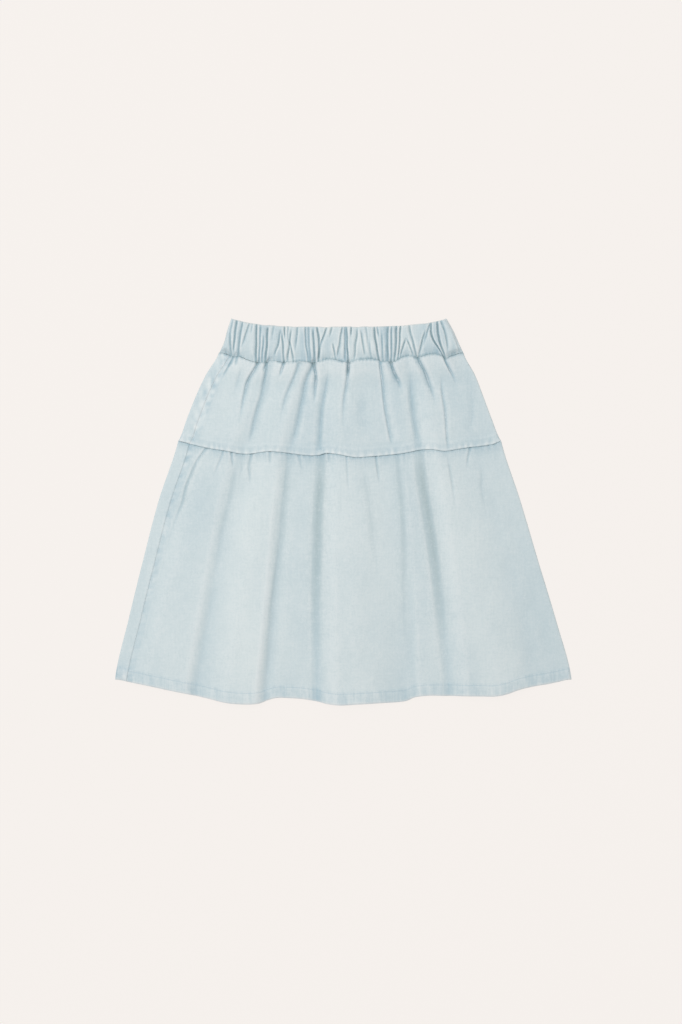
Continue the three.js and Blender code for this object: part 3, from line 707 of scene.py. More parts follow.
@dataclass
class Cloth:
    """One piece of cloth as a grid of points on its outer face, mm, with its thickness, and its washed colour with its
    painted shade and highlights.

    Attributes:
        name: The piece's name.
        outer: Points, rows by columns by 3.
        thickness: Thickness at each point, mm.
        weave: Place of each point in the cloth, across and down, mm.
        wash: Its washed colour, painted shade and painted highlights at each point.
        streak: How far it is streaked up and down by its gathers, 0 to 1.
        inner: Points of the inner face, where they aren't simply a thickness away.
        coarse: How many outer cells one inner cell spans.
    """

    name: str
    outer: Array
    thickness: Array
    weave: Array
    wash: WashAndShade
    streak: Array
    inner: Union[Array, None] = None
    coarse: int = 3

    @staticmethod
    def picks(count: int, step: int) -> list[int]:
        """Every step-th index below count, and always the last."""
        return sorted(set(range(0, count, step)) | {count - 1})

    @staticmethod
    def strip(fine: Sequence[int], rough: Sequence[int], picks: Sequence[int], flip: bool) -> list[tuple[int, ...]]:
        """Faces that join a fine border to a coarse one.

        Args:
            fine: Vertex of each fine point along the border.
            rough: Vertex of each coarse point.
            picks: Which fine point each coarse one belongs to.
            flip: Whether the faces turn the other way.

        Returns:
            The faces.
        """
        faces: list[tuple[int, ...]] = []
        for k in range(len(picks) - 1):
            i, j = picks[k], picks[k + 1]
            half = (i + j) // 2
            for m in range(i, j):
                faces.append((fine[m], fine[m + 1], rough[k] if m < half else rough[k + 1]))
            faces.append((fine[half], rough[k + 1], rough[k]))
        return [face[::-1] for face in faces] if flip else faces

    def build(self, shift: tuple[float, float], materials: Sequence[bpy.types.Material]) -> bpy.types.Object:
        """Makes the piece's closed mesh, with its weave places, washed colour, painted shade and painted highlights as
        attributes.

        Args:
            shift: From the garment's layout to the frame, mm.
            materials: The outer face's material, then the inner face's.

        Returns:
            The object.
        """
        rows, columns = self.outer.shape[:2]
        row_picks, column_picks = self.picks(rows, self.coarse), self.picks(columns, self.coarse)
        inner = self.inner
        if inner is None:
            inner = self.outer - outward(self.outer) * self.thickness[..., None]
        keep = np.ix_(row_picks, column_picks)
        layers = [self.outer.reshape(-1, 3), inner[keep].reshape(-1, 3)]
        points = (np.vstack(layers) + np.array([*shift, 0.0])) * MM
        a = np.arange(rows * columns).reshape(rows, columns)
        b = rows * columns + np.arange(len(row_picks) * len(column_picks)).reshape(len(row_picks), -1)
        outside = np.stack([a[:-1, :-1], a[1:, :-1], a[1:, 1:], a[:-1, 1:]], -1).reshape(-1, 4)
        inside = np.stack([b[:-1, :-1], b[:-1, 1:], b[1:, 1:], b[1:, :-1]], -1).reshape(-1, 4)
        rim = self.strip(a[0], b[0], column_picks, False) + self.strip(a[-1], b[-1], column_picks, True)
        rim += self.strip(a[:, 0], b[:, 0], row_picks, True) + self.strip(a[:, -1], b[:, -1], row_picks, False)
        mesh = bpy.data.meshes.new(self.name)
        mesh.from_pydata(points.tolist(), [], outside.tolist() + inside.tolist() + [tuple(map(int, f)) for f in rim])
        for material in materials:
            mesh.materials.append(material)
        index = np.zeros(len(mesh.polygons), np.int32)
        index[len(outside) : len(outside) + len(inside)] = len(materials) - 1
        mesh.polygons.foreach_set("material_index", index)
        mesh.polygons.foreach_set("use_smooth", np.arange(len(mesh.polygons)) < len(outside) + len(inside))
        place = np.concatenate([self.weave, np.zeros((rows, columns, 1))], axis=2)
        self.attribute(mesh, "cloth", "FLOAT_VECTOR", [place.reshape(-1, 3) * MM, place[keep].reshape(-1, 3) * MM])
        for name, grid in (*vars(self.wash).items(), ("streak", self.streak)):
            self.attribute(mesh, name, "FLOAT", [grid.ravel(), grid[keep].ravel()])
        mesh.update()
        piece = bpy.data.objects.new(self.name, mesh)
        bpy.context.scene.collection.objects.link(piece)
        return piece

    @staticmethod
    def attribute(mesh: bpy.types.Mesh, name: str, kind: str, layers: Sequence[Array]) -> None:
        """Stores values on a mesh's points.

        Args:
            mesh: The mesh.
            name: The attribute's name.
            kind: FLOAT or FLOAT_VECTOR.
            layers: The values of the outer points, then of the inner ones.
        """
        made = mesh.attributes.new(name, kind, "POINT")
        values = np.concatenate(layers).astype(np.float32)
        made.data.foreach_set("value" if kind == "FLOAT" else "vector", values.ravel())


def spaced(count: int, length: float, fine: float, rough: float, zones: Sequence[tuple[float, float]]) -> Array:
    """Places from 0 to 1 that stand closer together in some zones.

    Args:
        count: How many places.
        length: The whole length, mm.
        fine: Relative spacing at the middle of a zone.
        rough: Relative spacing away from the zones.
        zones: Each zone's place, 0 to 1, and its reach in mm.

    Returns:
        The places.
    """
    x = np.linspace(0, 1, 4001)
    near = np.zeros_like(x)
    for place, reach in zones:
        near = np.maximum(near, fall(np.abs(x - place) * length, reach, reach * 0.5))
    density = 1 / (fine * near + rough * (1 - near))
    total = np.concatenate([[0], np.cumsum((density[1:] + density[:-1]) / 2)])
    return np.interp(np.linspace(0, total[-1], count), total, x)


class ClothPiece(ABC):
    """A piece of the skirt that is one shell of cloth.

    Attributes:
        layout: The garment's layout.
    """

    layout: Layout

    @abstractmethod
    def cloth(self) -> Cloth:
        """Lays out the piece's cloth."""

    def build(self, materials: Sequence[bpy.types.Material]) -> bpy.types.Object:
        """Makes the piece.

        Args:
            materials: The outer and the inner face's material.

        Returns:
            The object.
        """
        return self.cloth().build(self.layout.shift, materials)


# ---- Panels ------------------------------------------------------------------------------------------


@dataclass(frozen=True)
class Spots:
    """Points on a panel.

    Attributes:
        u: Places across, shares.
        t: Places down.
        x: X, mm.
        y: Y, mm.
        upper: Whether each point looks up.
    """

    u: Array
    t: Array
    x: Array
    y: Array
    upper: Array


@dataclass
class Panel(ClothPiece):
    """A front or back panel of one tier: across the garment, round one side edge and a little way on.

    Attributes:
        name: The piece's name.
        face: Front or back.
        tier: Upper or lower.
        rows: Points down the panel.
        columns: Points across it.
        layout: The garment's layout.
        relief: The front's folds.
        cut: Width and length of the cloth before it was gathered, m; not used.
        wall: Thickness of the cloth, mm.
        seam_gap: Between the pieces at a seam, mm.
        seam_roll: How far from a side seam the cloth rolls down to it, mm.
        lips: For each tier, how far its cloth drops at the seam that it starts from, and over what distance, mm.
        hem_depth: Depth of the turned-up hem, mm.
        hem_wall: Thickness of the turned-up hem, mm.
        hem_step: How far the turned-up hem stands out, mm.
        hem_roll: How far the hem's lower edge rolls down, mm.
        hem_roll_width: Width of that edge, mm.
        hem_dent: How far the hem's stitches pull the cloth in, mm.
        hem_waves: Height of the hem's ripples, mm.
        welt: Height of the seam allowance that shows through beside the left side seam, mm.
        welt_width: Its width, mm.
        shelf: How far the upper tier stands up along the tier seam, mm.
        shelf_width: Width of that strip, mm.
        turn_steps: Points round the side edge.
        wrap_steps: Points across the part that has come round it.
        tier_puckers: Gathers above the tier seam.
        under_puckers: Gathers below it.
        band_puckers: Gathers below the band seam.
        side_puckers: Puckers on the front panel's side of the left side seam.
        edge_puckers: Puckers on the other side of it.
        back_folds: The underside's folds: place, height in mm and reach in mm.
        fades: Bluer and paler patches: some left by washing, some painted shade and painted light on the flanks of
            folds and on the right side.
    """

    name: str
    face: Face
    tier: Tier
    rows: int
    columns: int
    layout: Layout
    relief: Relief
    cut: tuple[float, float]
    wall: float = 1.0
    seam_gap: float = 0.01
    seam_roll: float = 1.8
    lips: tuple[tuple[float, float], ...] = ((0.9, 4.0), (0.5, 5.0))
    hem_depth: float = 14.0
    hem_wall: float = 1.9
    hem_step: float = 0.55
    hem_roll: float = 0.7
    hem_roll_width: float = 1.6
    hem_dent: float = 0.35
    hem_waves: float = 0.2
    welt: float = 0.3
    welt_width: float = 7.0
    shelf: float = 0.55
    shelf_width: float = 8.0
    turn_steps: int = 10
    wrap_steps: int = 9
    tier_puckers: Puckers = Puckers(8.6, 0.5, 9.5, 21)
    under_puckers: Puckers = Puckers(7.4, 0.35, 6.5, 24)
    band_puckers: Puckers = Puckers(4.2, 0.55, 6.0, 27)
    side_puckers: Puckers = Puckers(11.0, 0.45, 10.0, 35, 4.0)
    edge_puckers: Puckers = Puckers(13.0, 0.35, 9.0, 38, 3.0)
    back_folds: tuple[tuple[float, float, float], ...] = (
        (0.09, 0.9, 12), (0.245, 1.6, 16), (0.515, 2.2, 19), (0.785, 1.8, 16), (0.38, 0.7, 12), (0.66, 0.7, 12),
    )
    # Some are patches left by washing, some painted shade and painted light on the folds and on the right side.
    # u, t, wide, long, blue
    fades: tuple[WashAndShadePatch, ...] = (
        WashAndShadePatch(0.12, 1.22, 0.05, 0.3, 0.1),
        WashAndShadePatch(0.39, 1.5, 0.04, 0.6, 0.07),
        WashAndShadePatch(0.7, 1.3, 0.035, 0.4, 0.12),
        WashAndShadePatch(0.93, 1.75, 0.06, 0.25, 0.03),
        WashAndShadePatch(0.3, 1.75, 0.06, 0.2, -0.05),
        WashAndShadePatch(0.24, 1.35, 0.05, 0.4, -0.08),
        WashAndShadePatch(0.47, 1.3, 0.04, 0.4, 0.03),
        WashAndShadePatch(0.8, 1.35, 0.05, 0.4, -0.05),
        WashAndShadePatch(0.25, 0.7, 0.06, 0.3, -0.06),
        WashAndShadePatch(0.55, 0.6, 0.07, 0.35, 0.05),
        WashAndShadePatch(0.92, 0.6, 0.06, 0.4, 0.08),
        WashAndShadePatch(0.4, 0.75, 0.04, 0.25, 0.06),
        WashAndShadePatch(0.7, 0.45, 0.022, 0.35, 0.16),
        WashAndShadePatch(0.385, 0.42, 0.014, 0.2, 0.14),
        WashAndShadePatch(0.79, 0.45, 0.03, 0.25, 0.08),
        # Painted shade on a fold's left flank near the hem.
        WashAndShadePatch(0.77, 1.86, 0.028, 0.2, 0.14),
        WashAndShadePatch(0.52, 1.85, 0.06, 0.3, -0.06),
    )

    @property
    def start(self) -> int:
        """The t that the panel starts at."""
        return self.tier.value

    @property
    def length(self) -> float:
        """Length of the tier at its middle, mm."""
        return self.layout.tier_lengths[self.start]

    @property
    def ends_at_hem(self) -> bool:
        """Whether the panel ends at the hem."""
        return self.tier is Tier.LOWER

    def from_start(self, t: Array) -> Array:
        """Distances from the seam that the panel starts at, mm."""
        return (t - self.start) * self.length

    def from_end(self, t: Array) -> Array:
        """Distances from the seam or hem that the panel ends at, mm."""
        return (self.start + 1 - t) * self.length

    def downs(self) -> Array:
        """Lays out the panel's rows, closer together at its seams and in its hem.

        Returns:
            Places down, t.
        """
        fine, ends = (0.36, (22.0, 20.0)) if self.ends_at_hem else (0.45, (16.0, 14.0))
        share = spaced(self.rows, self.length, fine, 1.0, [(0.0, ends[0]), (1.0, ends[1])])
        trim = self.seam_gap / 2 / self.length
        return self.start + np.clip(share, trim, 1.0 if self.ends_at_hem else 1 - trim)

    def across(self) -> tuple[Array, Array]:
        """Lays out the panel's columns: its wide face, then its turned edge, then what has come round that edge.

        Returns:
            The share of its stretch at each column, and which stretch that is.
        """
        wide = spaced(self.columns, 400.0, 0.5, 1.0, [(0.0, 10.0)])
        turn = np.arange(1, self.turn_steps) / self.turn_steps
        wrap = np.linspace(0, 1, self.wrap_steps)
        return np.concatenate([wide, turn, wrap]), np.repeat(list(Stretch), [len(wide), len(turn), len(wrap)])

    def cloth(self) -> Cloth:
        """Lays out the panel's grid, its thickness, and its washed colour with painted shade and highlights.

        Returns:
            The cloth.
        """
        t = self.downs()[:, None]
        share, kind = self.across()
        t, share, kind = np.broadcast_arrays(t, share, kind)
        on_face, on_edge, wrapped = (kind == stretch for stretch in Stretch)
        width = self.layout.width(t)
        radius = self.layout.edge_radius
        inset = radius / width
        front = self.face is Face.FRONT
        wraps = self.layout.left_wrap, self.layout.right_wrap
        own, other = (wraps[1], wraps[0]) if front else wraps
        shared_seam = (through(other, t) + self.seam_gap) / width
        # u on the wide face starts from the seam that this panel shares with the other one
        wide = shared_seam + share * (1 - shared_seam - inset)
        narrow = inset + share * (through(own, t) / width - inset)
        u = np.where(on_face, wide, np.where(wrapped, 1 - narrow, 1.0))
        u = u if front else 1 - u
        turn = np.where(on_edge, share * np.pi, np.where(wrapped, np.pi, 0.0))
        upper = on_face == front
        side = 1.0 if front else -1.0
        edge = self.layout.right(t) if front else self.layout.left(t)
        x = np.where(on_edge, edge - side * radius * (1 - np.sin(turn)), self.layout.left(t) + u * width)
        y_top, y_under = self.layout.level(u, t, Face.FRONT), self.layout.level(u, t, Face.BACK)
        y = np.where(upper | on_edge, y_top, y_under)
        top = 2 * radius + self.top_relief(Spots(u, t, x, y_top, upper))
        under = self.under_relief(Spots(u, t, x, y_under, upper))
        z = np.where(on_edge, radius * (1 + side * np.cos(turn)), np.where(upper, top, under))
        in_hem = fall(self.from_end(t), 1.2, self.hem_depth - 0.6) * self.ends_at_hem
        thickness = self.wall + (self.hem_wall - self.wall) * in_hem
        outer, thickness = self.roll_ends(np.stack([x, y, z], axis=2), thickness)
        out = np.where(on_edge, 0.0, np.where(upper, top - 2 * radius, -under))
        wash = self.wash(Spots(u, t, x, np.where(upper, y_top, y_under), upper), out)
        extra = len(outer) - len(t)
        wash, streak = wash.changed(lambda grid: self.extended(grid, extra)), self.extended(self.streaks(t), extra)
        weave = np.stack([self.extended(x, extra), self.extended(y, extra, -1.0)], axis=2)
        return Cloth(self.name, outer, thickness, weave, wash, streak)

    @staticmethod
    def extended(grid: Array, extra: int, step: float = 0.0) -> Array:
        """Repeats a grid's last row for the rows that are added round the hem's edge.

        Args:
            grid: The values.
            extra: How many rows to add.
            step: How much each of them adds to the one before it.

        Returns:
            The longer grid.
        """
        return np.concatenate([grid, grid[-1:] + step * np.arange(1, extra + 1)[:, None]])

    def top_relief(self, spots: Spots) -> Array:
        """Height of the upper side over the flat side edges, with its seams' ditches and puckers.

        Args:
            spots: The points.

        Returns:
            Heights, mm.
        """
        height = self.relief.front(spots.u, spots.t) + self.seam_relief(spots, True)
        off = self.off_side_seam(spots) - self.seam_gap / 2
        broken = np.clip(0.6 + 0.9 * SIDE_BREAKS.at(spots.x, spots.y), 0, 1)
        height = height - 0.04 * broken * fall(np.abs(off), self.seam_roll)
        right_of = np.maximum(off - 0.6, 0)
        right_rope = self.side_puckers.stand(-spots.y, right_of) * (off > 0)
        left_rope = self.edge_puckers.stand(-spots.y, np.maximum(-off, 0)) * (off <= 0)
        welt = self.welt * ease(right_of / 4.0) * fall(right_of, 2.5, self.welt_width)
        near_seam = ease((spots.t - 0.04) / 0.1) * ease(np.abs(off) / 6.0)
        return height + ((right_rope + left_rope) * 0.9 + welt) * near_seam * (spots.u < 0.2)

    def off_side_seam(self, spots: Spots) -> Array:
        """Distances from the left side seam, mm: more than 0 on the front panel."""
        return spots.u * self.layout.width(spots.t) - through(self.layout.left_wrap, spots.t)

    def under_relief(self, spots: Spots) -> Array:
        """Height of the underside over the surface that it lies on.

        Args:
            spots: The points.

        Returns:
            Heights, mm, at least 0.
        """
        u, t = spots.u, spots.t
        width = self.layout.width(t)
        off = np.abs((1 - u) * width - through(self.layout.right_wrap, t) - self.seam_gap / 2)
        ditch = 0.9 * fall(off, self.seam_roll)
        folds = 0.0
        for place, size, reach in self.back_folds:
            q = np.clip(np.abs(u - place) * width / reach, 0, 1)
            folds = folds + size * (1 - q) ** 2 * (1 + 2 * q) * ease((t - 0.55) / 1.2)
        seams = self.seam_relief(spots, False)
        inward = ease((np.minimum(u, 1 - u) * width - 14) / 20)
        groove = STITCH_GROOVE * fall(np.abs(self.from_end(t) - STITCH_ROW), 1.0, 0.5) * self.ends_at_hem
        return np.maximum(ditch + folds * inward - 0.75 * seams + 0.35 * (seams != 0), groove)

    def seam_relief(self, spots: Spots, on_top: bool) -> Array:
        """Relief next to the band seam, the tier seam and the hem.

        Args:
            spots: The points.
            on_top: Whether this is the side that looks up.

        Returns:
            Heights to add, mm.
        """
        from_start, from_end = self.from_start(spots.t), self.from_end(spots.t)
        lip, reach = self.lips[self.start]
        if not self.ends_at_hem:
            lip = lip * (0.65 + 0.35 * SEAM_TICKS.at(spots.x, 0 * spots.x))
        drop = lip * fall(from_start, reach)
        if not self.ends_at_hem:
            puckers = self.band_puckers.stand(spots.x, from_start) + self.tier_puckers.stand(spots.x, from_end)
            shelf = self.shelf * fall(from_end, 5.0, self.shelf_width)
            return puckers + shelf - drop - 0.12 * fall(from_end, 1.2)
        puckers = self.under_puckers.stand(spots.x, from_start)
        in_hem = fall(from_end, 1.0, self.hem_depth - 0.5)
        stitched = self.hem_dent * fall(np.abs(from_end - STITCH_ROW), 1.4)
        ripple = self.hem_waves + self.hem_waves * self.hem_ripple(spots.x, from_end)
        fading = fall(from_end, 9.0, self.hem_depth)
        body = in_hem * (0.55 + 0.45 * np.sin(np.clip(from_end / self.hem_depth, 0, 1) * np.pi))
        over = 0.25 * fading * (1 - in_hem)
        roll = self.hem_roll * (1 - rise(from_end / self.hem_roll_width))
        corner = self.corner_bulk(spots.u, from_end) if on_top else 0.0
        return puckers - drop + self.hem_step * in_hem + ripple * (body + over) - stitched - roll + corner

    @staticmethod
    def corner_bulk(u: Array, from_end: Array) -> Array:
        """The lump of folded seam allowance at the left end of the front hem.

        Args:
            u: Places across, shares.
            from_end: Distances from the hem's edge, mm.

        Returns:
            Heights to add, mm.
        """
        lump = (soft_spot(u, 0.024, 0.018) * soft_spot(from_end, 9.0, 9.0)) ** 1.3
        dent = soft_spot(u, 0.034, 0.006) * soft_spot(from_end, 7.0, 7.0)
        return 1.2 * lump - dent

    def roll_ends(self, outer: Array, thickness: Array) -> tuple[Array, Array]:
        """Rounds the hem's lower edge over to the inside.

        Args:
            outer: Points of the outer face.
            thickness: Thickness at each point.

        Returns:
            The points and the thickness, with the rounded rows added.
        """
        if not self.ends_at_hem:
            return outer, thickness
        normal = outward(outer)[-1]
        tangent = outer[-1] - outer[-2]
        tangent /= np.maximum(np.linalg.norm(tangent, axis=1, keepdims=True), 1e-9)
        radius = self.hem_wall / 2
        centre = outer[-1] - normal * radius
        angles = np.linspace(0, np.pi * 0.55, 6)[1:]
        rolled = [centre + radius * (normal * math.cos(a) + tangent * math.sin(a)) for a in angles]
        # half as thick, so that the inner face stays inside the wall
        added = np.repeat(thickness[-1:] * 0.5, len(rolled), axis=0)
        return np.concatenate([outer, np.stack(rolled)]), np.concatenate([thickness, added])

    def hem_ripple(self, x: Array, from_end: Array) -> Array:
        """The uneven up-and-down ripples of the hem, -1 to 1."""
        along = x + 3.0 * from_end / self.hem_depth
        return 0.7 * Unevenness(31, 5.5, 400).at(along, 0 * x) + 0.4 * Unevenness(32, 3.0, 14).at(along, from_end)

    def streaks(self, t: Array) -> Array:
        """How far the cloth is streaked up and down by the seams that gather it.

        Args:
            t: Places down.

        Returns:
            Shares.
        """
        from_start, from_end = self.from_start(t), self.from_end(t)
        if self.ends_at_hem:
            return 0.15 + 0.85 * fall(from_end, 1.5, self.hem_depth) + 0.5 * fall(from_start, 26.0)
        return 0.15 + 0.5 * fall(from_start, 24.0) + 0.6 * fall(from_end, 6.0, 5.0)

    def wash(self, spots: Spots, out: Array) -> WashAndShade:
        """How the panel has been washed, and where shade and highlights are painted on it.

        Args:
            spots: The points of its outer face.
            out: How far each of them stands out, mm.

        Returns:
            The washed colour, painted shade and painted highlights at each point.
        """
        u, t, x, y, upper = spots.u, spots.t, spots.x, spots.y, spots.upper
        fine, middle = out - blur(out, (2, 3)), out - blur(out, (8, 9))
        patches = 0.6 * Unevenness(51, 60, 90).at(x, y) + 0.4 * Unevenness(52, 22, 34).at(x, y)
        # Bluer in the hollows between the broad folds and towards the right side, partly washed tone and partly painted
        # shade; the patches added below are of the same two kinds.
        hollow = 1 - np.clip(self.relief.broad(u, t) / (2.2 + 3.2 * np.clip(t, 0, 2)), 0, 1)
        blue = 0.17 + 0.09 * hollow * np.where(upper, 1, 0.5) + 0.1 * patches + 0.03 * ease((u - 0.86) / 0.08) * upper
        blue = blue + np.clip(-middle, 0, 1) * 0.08 + np.clip(-fine, 0, 0.6) * 0.3 + 0.04 * (not self.ends_at_hem)
        blue = blue + sum(fade.at(u, t) for fade in self.fades) * upper
        # Crests lighter: partly rubbed white, partly painted highlight.
        wash = WashAndShade(blue, np.clip(fine, 0, 0.4) * 0.7 + np.clip(middle, 0, 0.8) * 0.1, np.zeros_like(blue))
        # Painted shade in the creases, strongest near the seams: bluer cloth, and the dark shade colour at their
        # bottoms.
        sunk = self.relief.sunk(u, t)
        soft, wide = np.clip(blur(sunk, (1, 1)), 0, 5), np.clip(blur(sunk, (1, 6)), 0, 4)
        if self.ends_at_hem:
            near_seam = (0.8 + 1.4 * ease((t - 1.0) / 0.13)) * upper
            wash.add(blue=(0.009 * soft + 0.008 * wide) * near_seam, deep=(0.06 * soft + 0.075 * wide) * near_seam)
            self.wash_hem(wash, spots)
        else:
            near_seam = (1 - 0.6 * ease(t / 0.8)) * upper
            wash.add(blue=(0.09 * soft + 0.08 * wide) * near_seam)
            wash.add(deep=0.045 * soft * upper + 0.1 * np.clip(soft - 1.4, 0, 3) * near_seam)
            self.wash_seams(wash, spots, soft)
        self.wash_side(wash, spots)
        return wash.changed(lambda grid: np.clip(grid, 0, 1))

    def wash_hem(self, wash: WashAndShade, spots: Spots) -> None:
        """Washes the lower tier along the tier seam and in the turned-up hem, bluer between its ripples, with painted
        shade just below the tier seam, where the upper tier lies over it.

        Args:
            wash: Its colours so far, painted shade and highlights among them.
            spots: The points.
        """
        from_start, from_end = self.from_start(spots.t), self.from_end(spots.t)
        hem = fall(from_end, 1.4, self.hem_depth)
        streak = self.hem_ripple(spots.x, from_end)
        stitched = fall(np.abs(from_end - self.hem_depth + 1.2), 1.4)
        wash.add(blue=hem * (0.15 - 0.14 * streak) + 0.14 * stitched * (0.7 + 0.5 * streak))
        wash.add(worn=hem * 0.1 * np.clip(streak, 0, 1) + 0.55 * hem * fall(from_end, 2.2))
        # Painted shade just below the tier seam, where the upper tier lies over the lower one: bluer and darker, dying
        # away over a few mm.
        reach = 4.0 + 2.2 * Unevenness(60, 45, 30).at(spots.x, 0 * spots.x)
        seam = np.exp(-from_start / np.maximum(reach, 1.5))
        corner = soft_spot(spots.u, 0.012, 0.014) * soft_spot(from_end, 9.0, 9.0) * spots.upper
        wash.add(blue=0.1 * fall(from_start, 16.0) + 0.34 * seam + 0.5 * corner, deep=0.1 * seam)

    def wash_seams(self, wash: WashAndShade, spots: Spots, soft: Array) -> None:
        """Washes the upper tier along the band seam and the tier seam, bluer between their puckers, partly with painted
        shade, and with painted highlights on the puckers, the puffed cloth and the rolled bottom edge.

        Args:
            wash: Its colours so far, painted shade and highlights among them.
            spots: The points.
            soft: Depth in the creases, mm.
        """
        from_start, from_end = self.from_start(spots.t), self.from_end(spots.t)
        tick = self.tier_puckers.stand(spots.x, from_end) / self.tier_puckers.height
        # Along the tier seam: bluer between the puckers and lighter on their crests, partly painted shade and
        # highlight; a painted highlight on the rolled bottom edge; painted shade in a thin line at the seam.
        near = fall(from_end, 4.0, 6.5)
        wash.add(blue=near * (0.14 - 0.3 * tick) + 0.1 * fall(from_end, 1.2))
        wash.add(worn=0.22 * ease(from_end / 1.4) * fall(from_end, 2.0, 2.0))
        wash.add(worn=near * 0.12 * np.clip(tick - 0.3, 0, 1), deep=0.02 * fall(from_end, 1.0))
        # Below the band seam: bluer between its puckers, a painted highlight on the cloth that puffs out between the
        # creases, and painted shade along the seam itself.
        band_tick = self.band_puckers.stand(spots.x, from_start) / self.band_puckers.height
        puffed = fall(from_start, 16.0, 6.0) * (1 - np.clip(soft / 0.8, 0, 1)) * spots.upper
        wash.add(blue=0.12 * fall(from_start, 14.0) * (1 - 0.8 * band_tick) - 0.06 * puffed)
        wash.add(worn=0.16 * puffed * ease(from_start / 2.0))
        seam = fall(from_start, 4.0) * (0.4 + 0.6 * seam_share(spots.x))
        wash.add(blue=0.5 * seam, deep=(0.32 + 0.1 * np.clip(soft, 0, 2)) * seam)

    def wash_side(self, wash: WashAndShade, spots: Spots) -> None:
        """Washes the cloth beside the left side seam, where its puckers are blotched blue and white; in the lower tier,
        painted shade darkens the gaps between them.

        Args:
            wash: Its colours so far, painted shade and highlights among them.
            spots: The points.
        """
        x, y, upper = spots.x, spots.y, spots.upper
        off = self.off_side_seam(spots)
        broken = np.clip(0.55 + 0.9 * SIDE_BREAKS.at(x, y), 0, 1)
        rope = self.side_puckers.stand(-y, np.maximum(off, 0)) / self.side_puckers.height
        roped = (off > 0) * fall(off, 3.0, 6.0) * upper
        patchy = 0.5 + 0.5 * Unevenness(57, 9, 14).at(x, y)
        wash.add(blue=0.05 * fall(np.abs(off), 2.4) * upper * broken + roped * (0.16 - 0.26 * rope))
        wash.add(worn=0.14 * fall(np.abs(off + 2.5), 2.0) * upper * patchy)
        if not self.ends_at_hem:
            blotch = Unevenness(61, 5, 7).at(x, y)
            strip = soft_spot(off, -1.5, 7.0) * upper
            wash.add(blue=strip * (0.08 + 0.4 * blotch), worn=strip * 0.25 * np.clip(-blotch, 0, 1))
            wash.add(worn=0.3 * fall(np.abs(off), 1.8) * upper)
            return
        # Painted shade: dark dashes between the puckers beside the lower tier's side seam.
        tick = Unevenness(62, 9, 4.2).at(x, y)
        beside = soft_spot(off, 1.6, 3.4) * (1 - 0.6 * ease((spots.t - 1.3) / 0.5)) * upper
        wash.add(blue=beside * (0.05 + 0.3 * np.clip(tick, -0.2, 1)), deep=beside * 0.05 * np.clip(tick, 0, 1))
        from_left = off + through(self.layout.left_wrap, spots.t)
        swirl = soft_spot(from_left, 10.5, 2.4) * soft_spot(self.from_end(spots.t), 5.0, 3.2) * upper
        wash.add(blue=-0.25 * swirl, worn=beside * 0.28 * np.clip(-tick, 0, 1) + 0.3 * swirl)


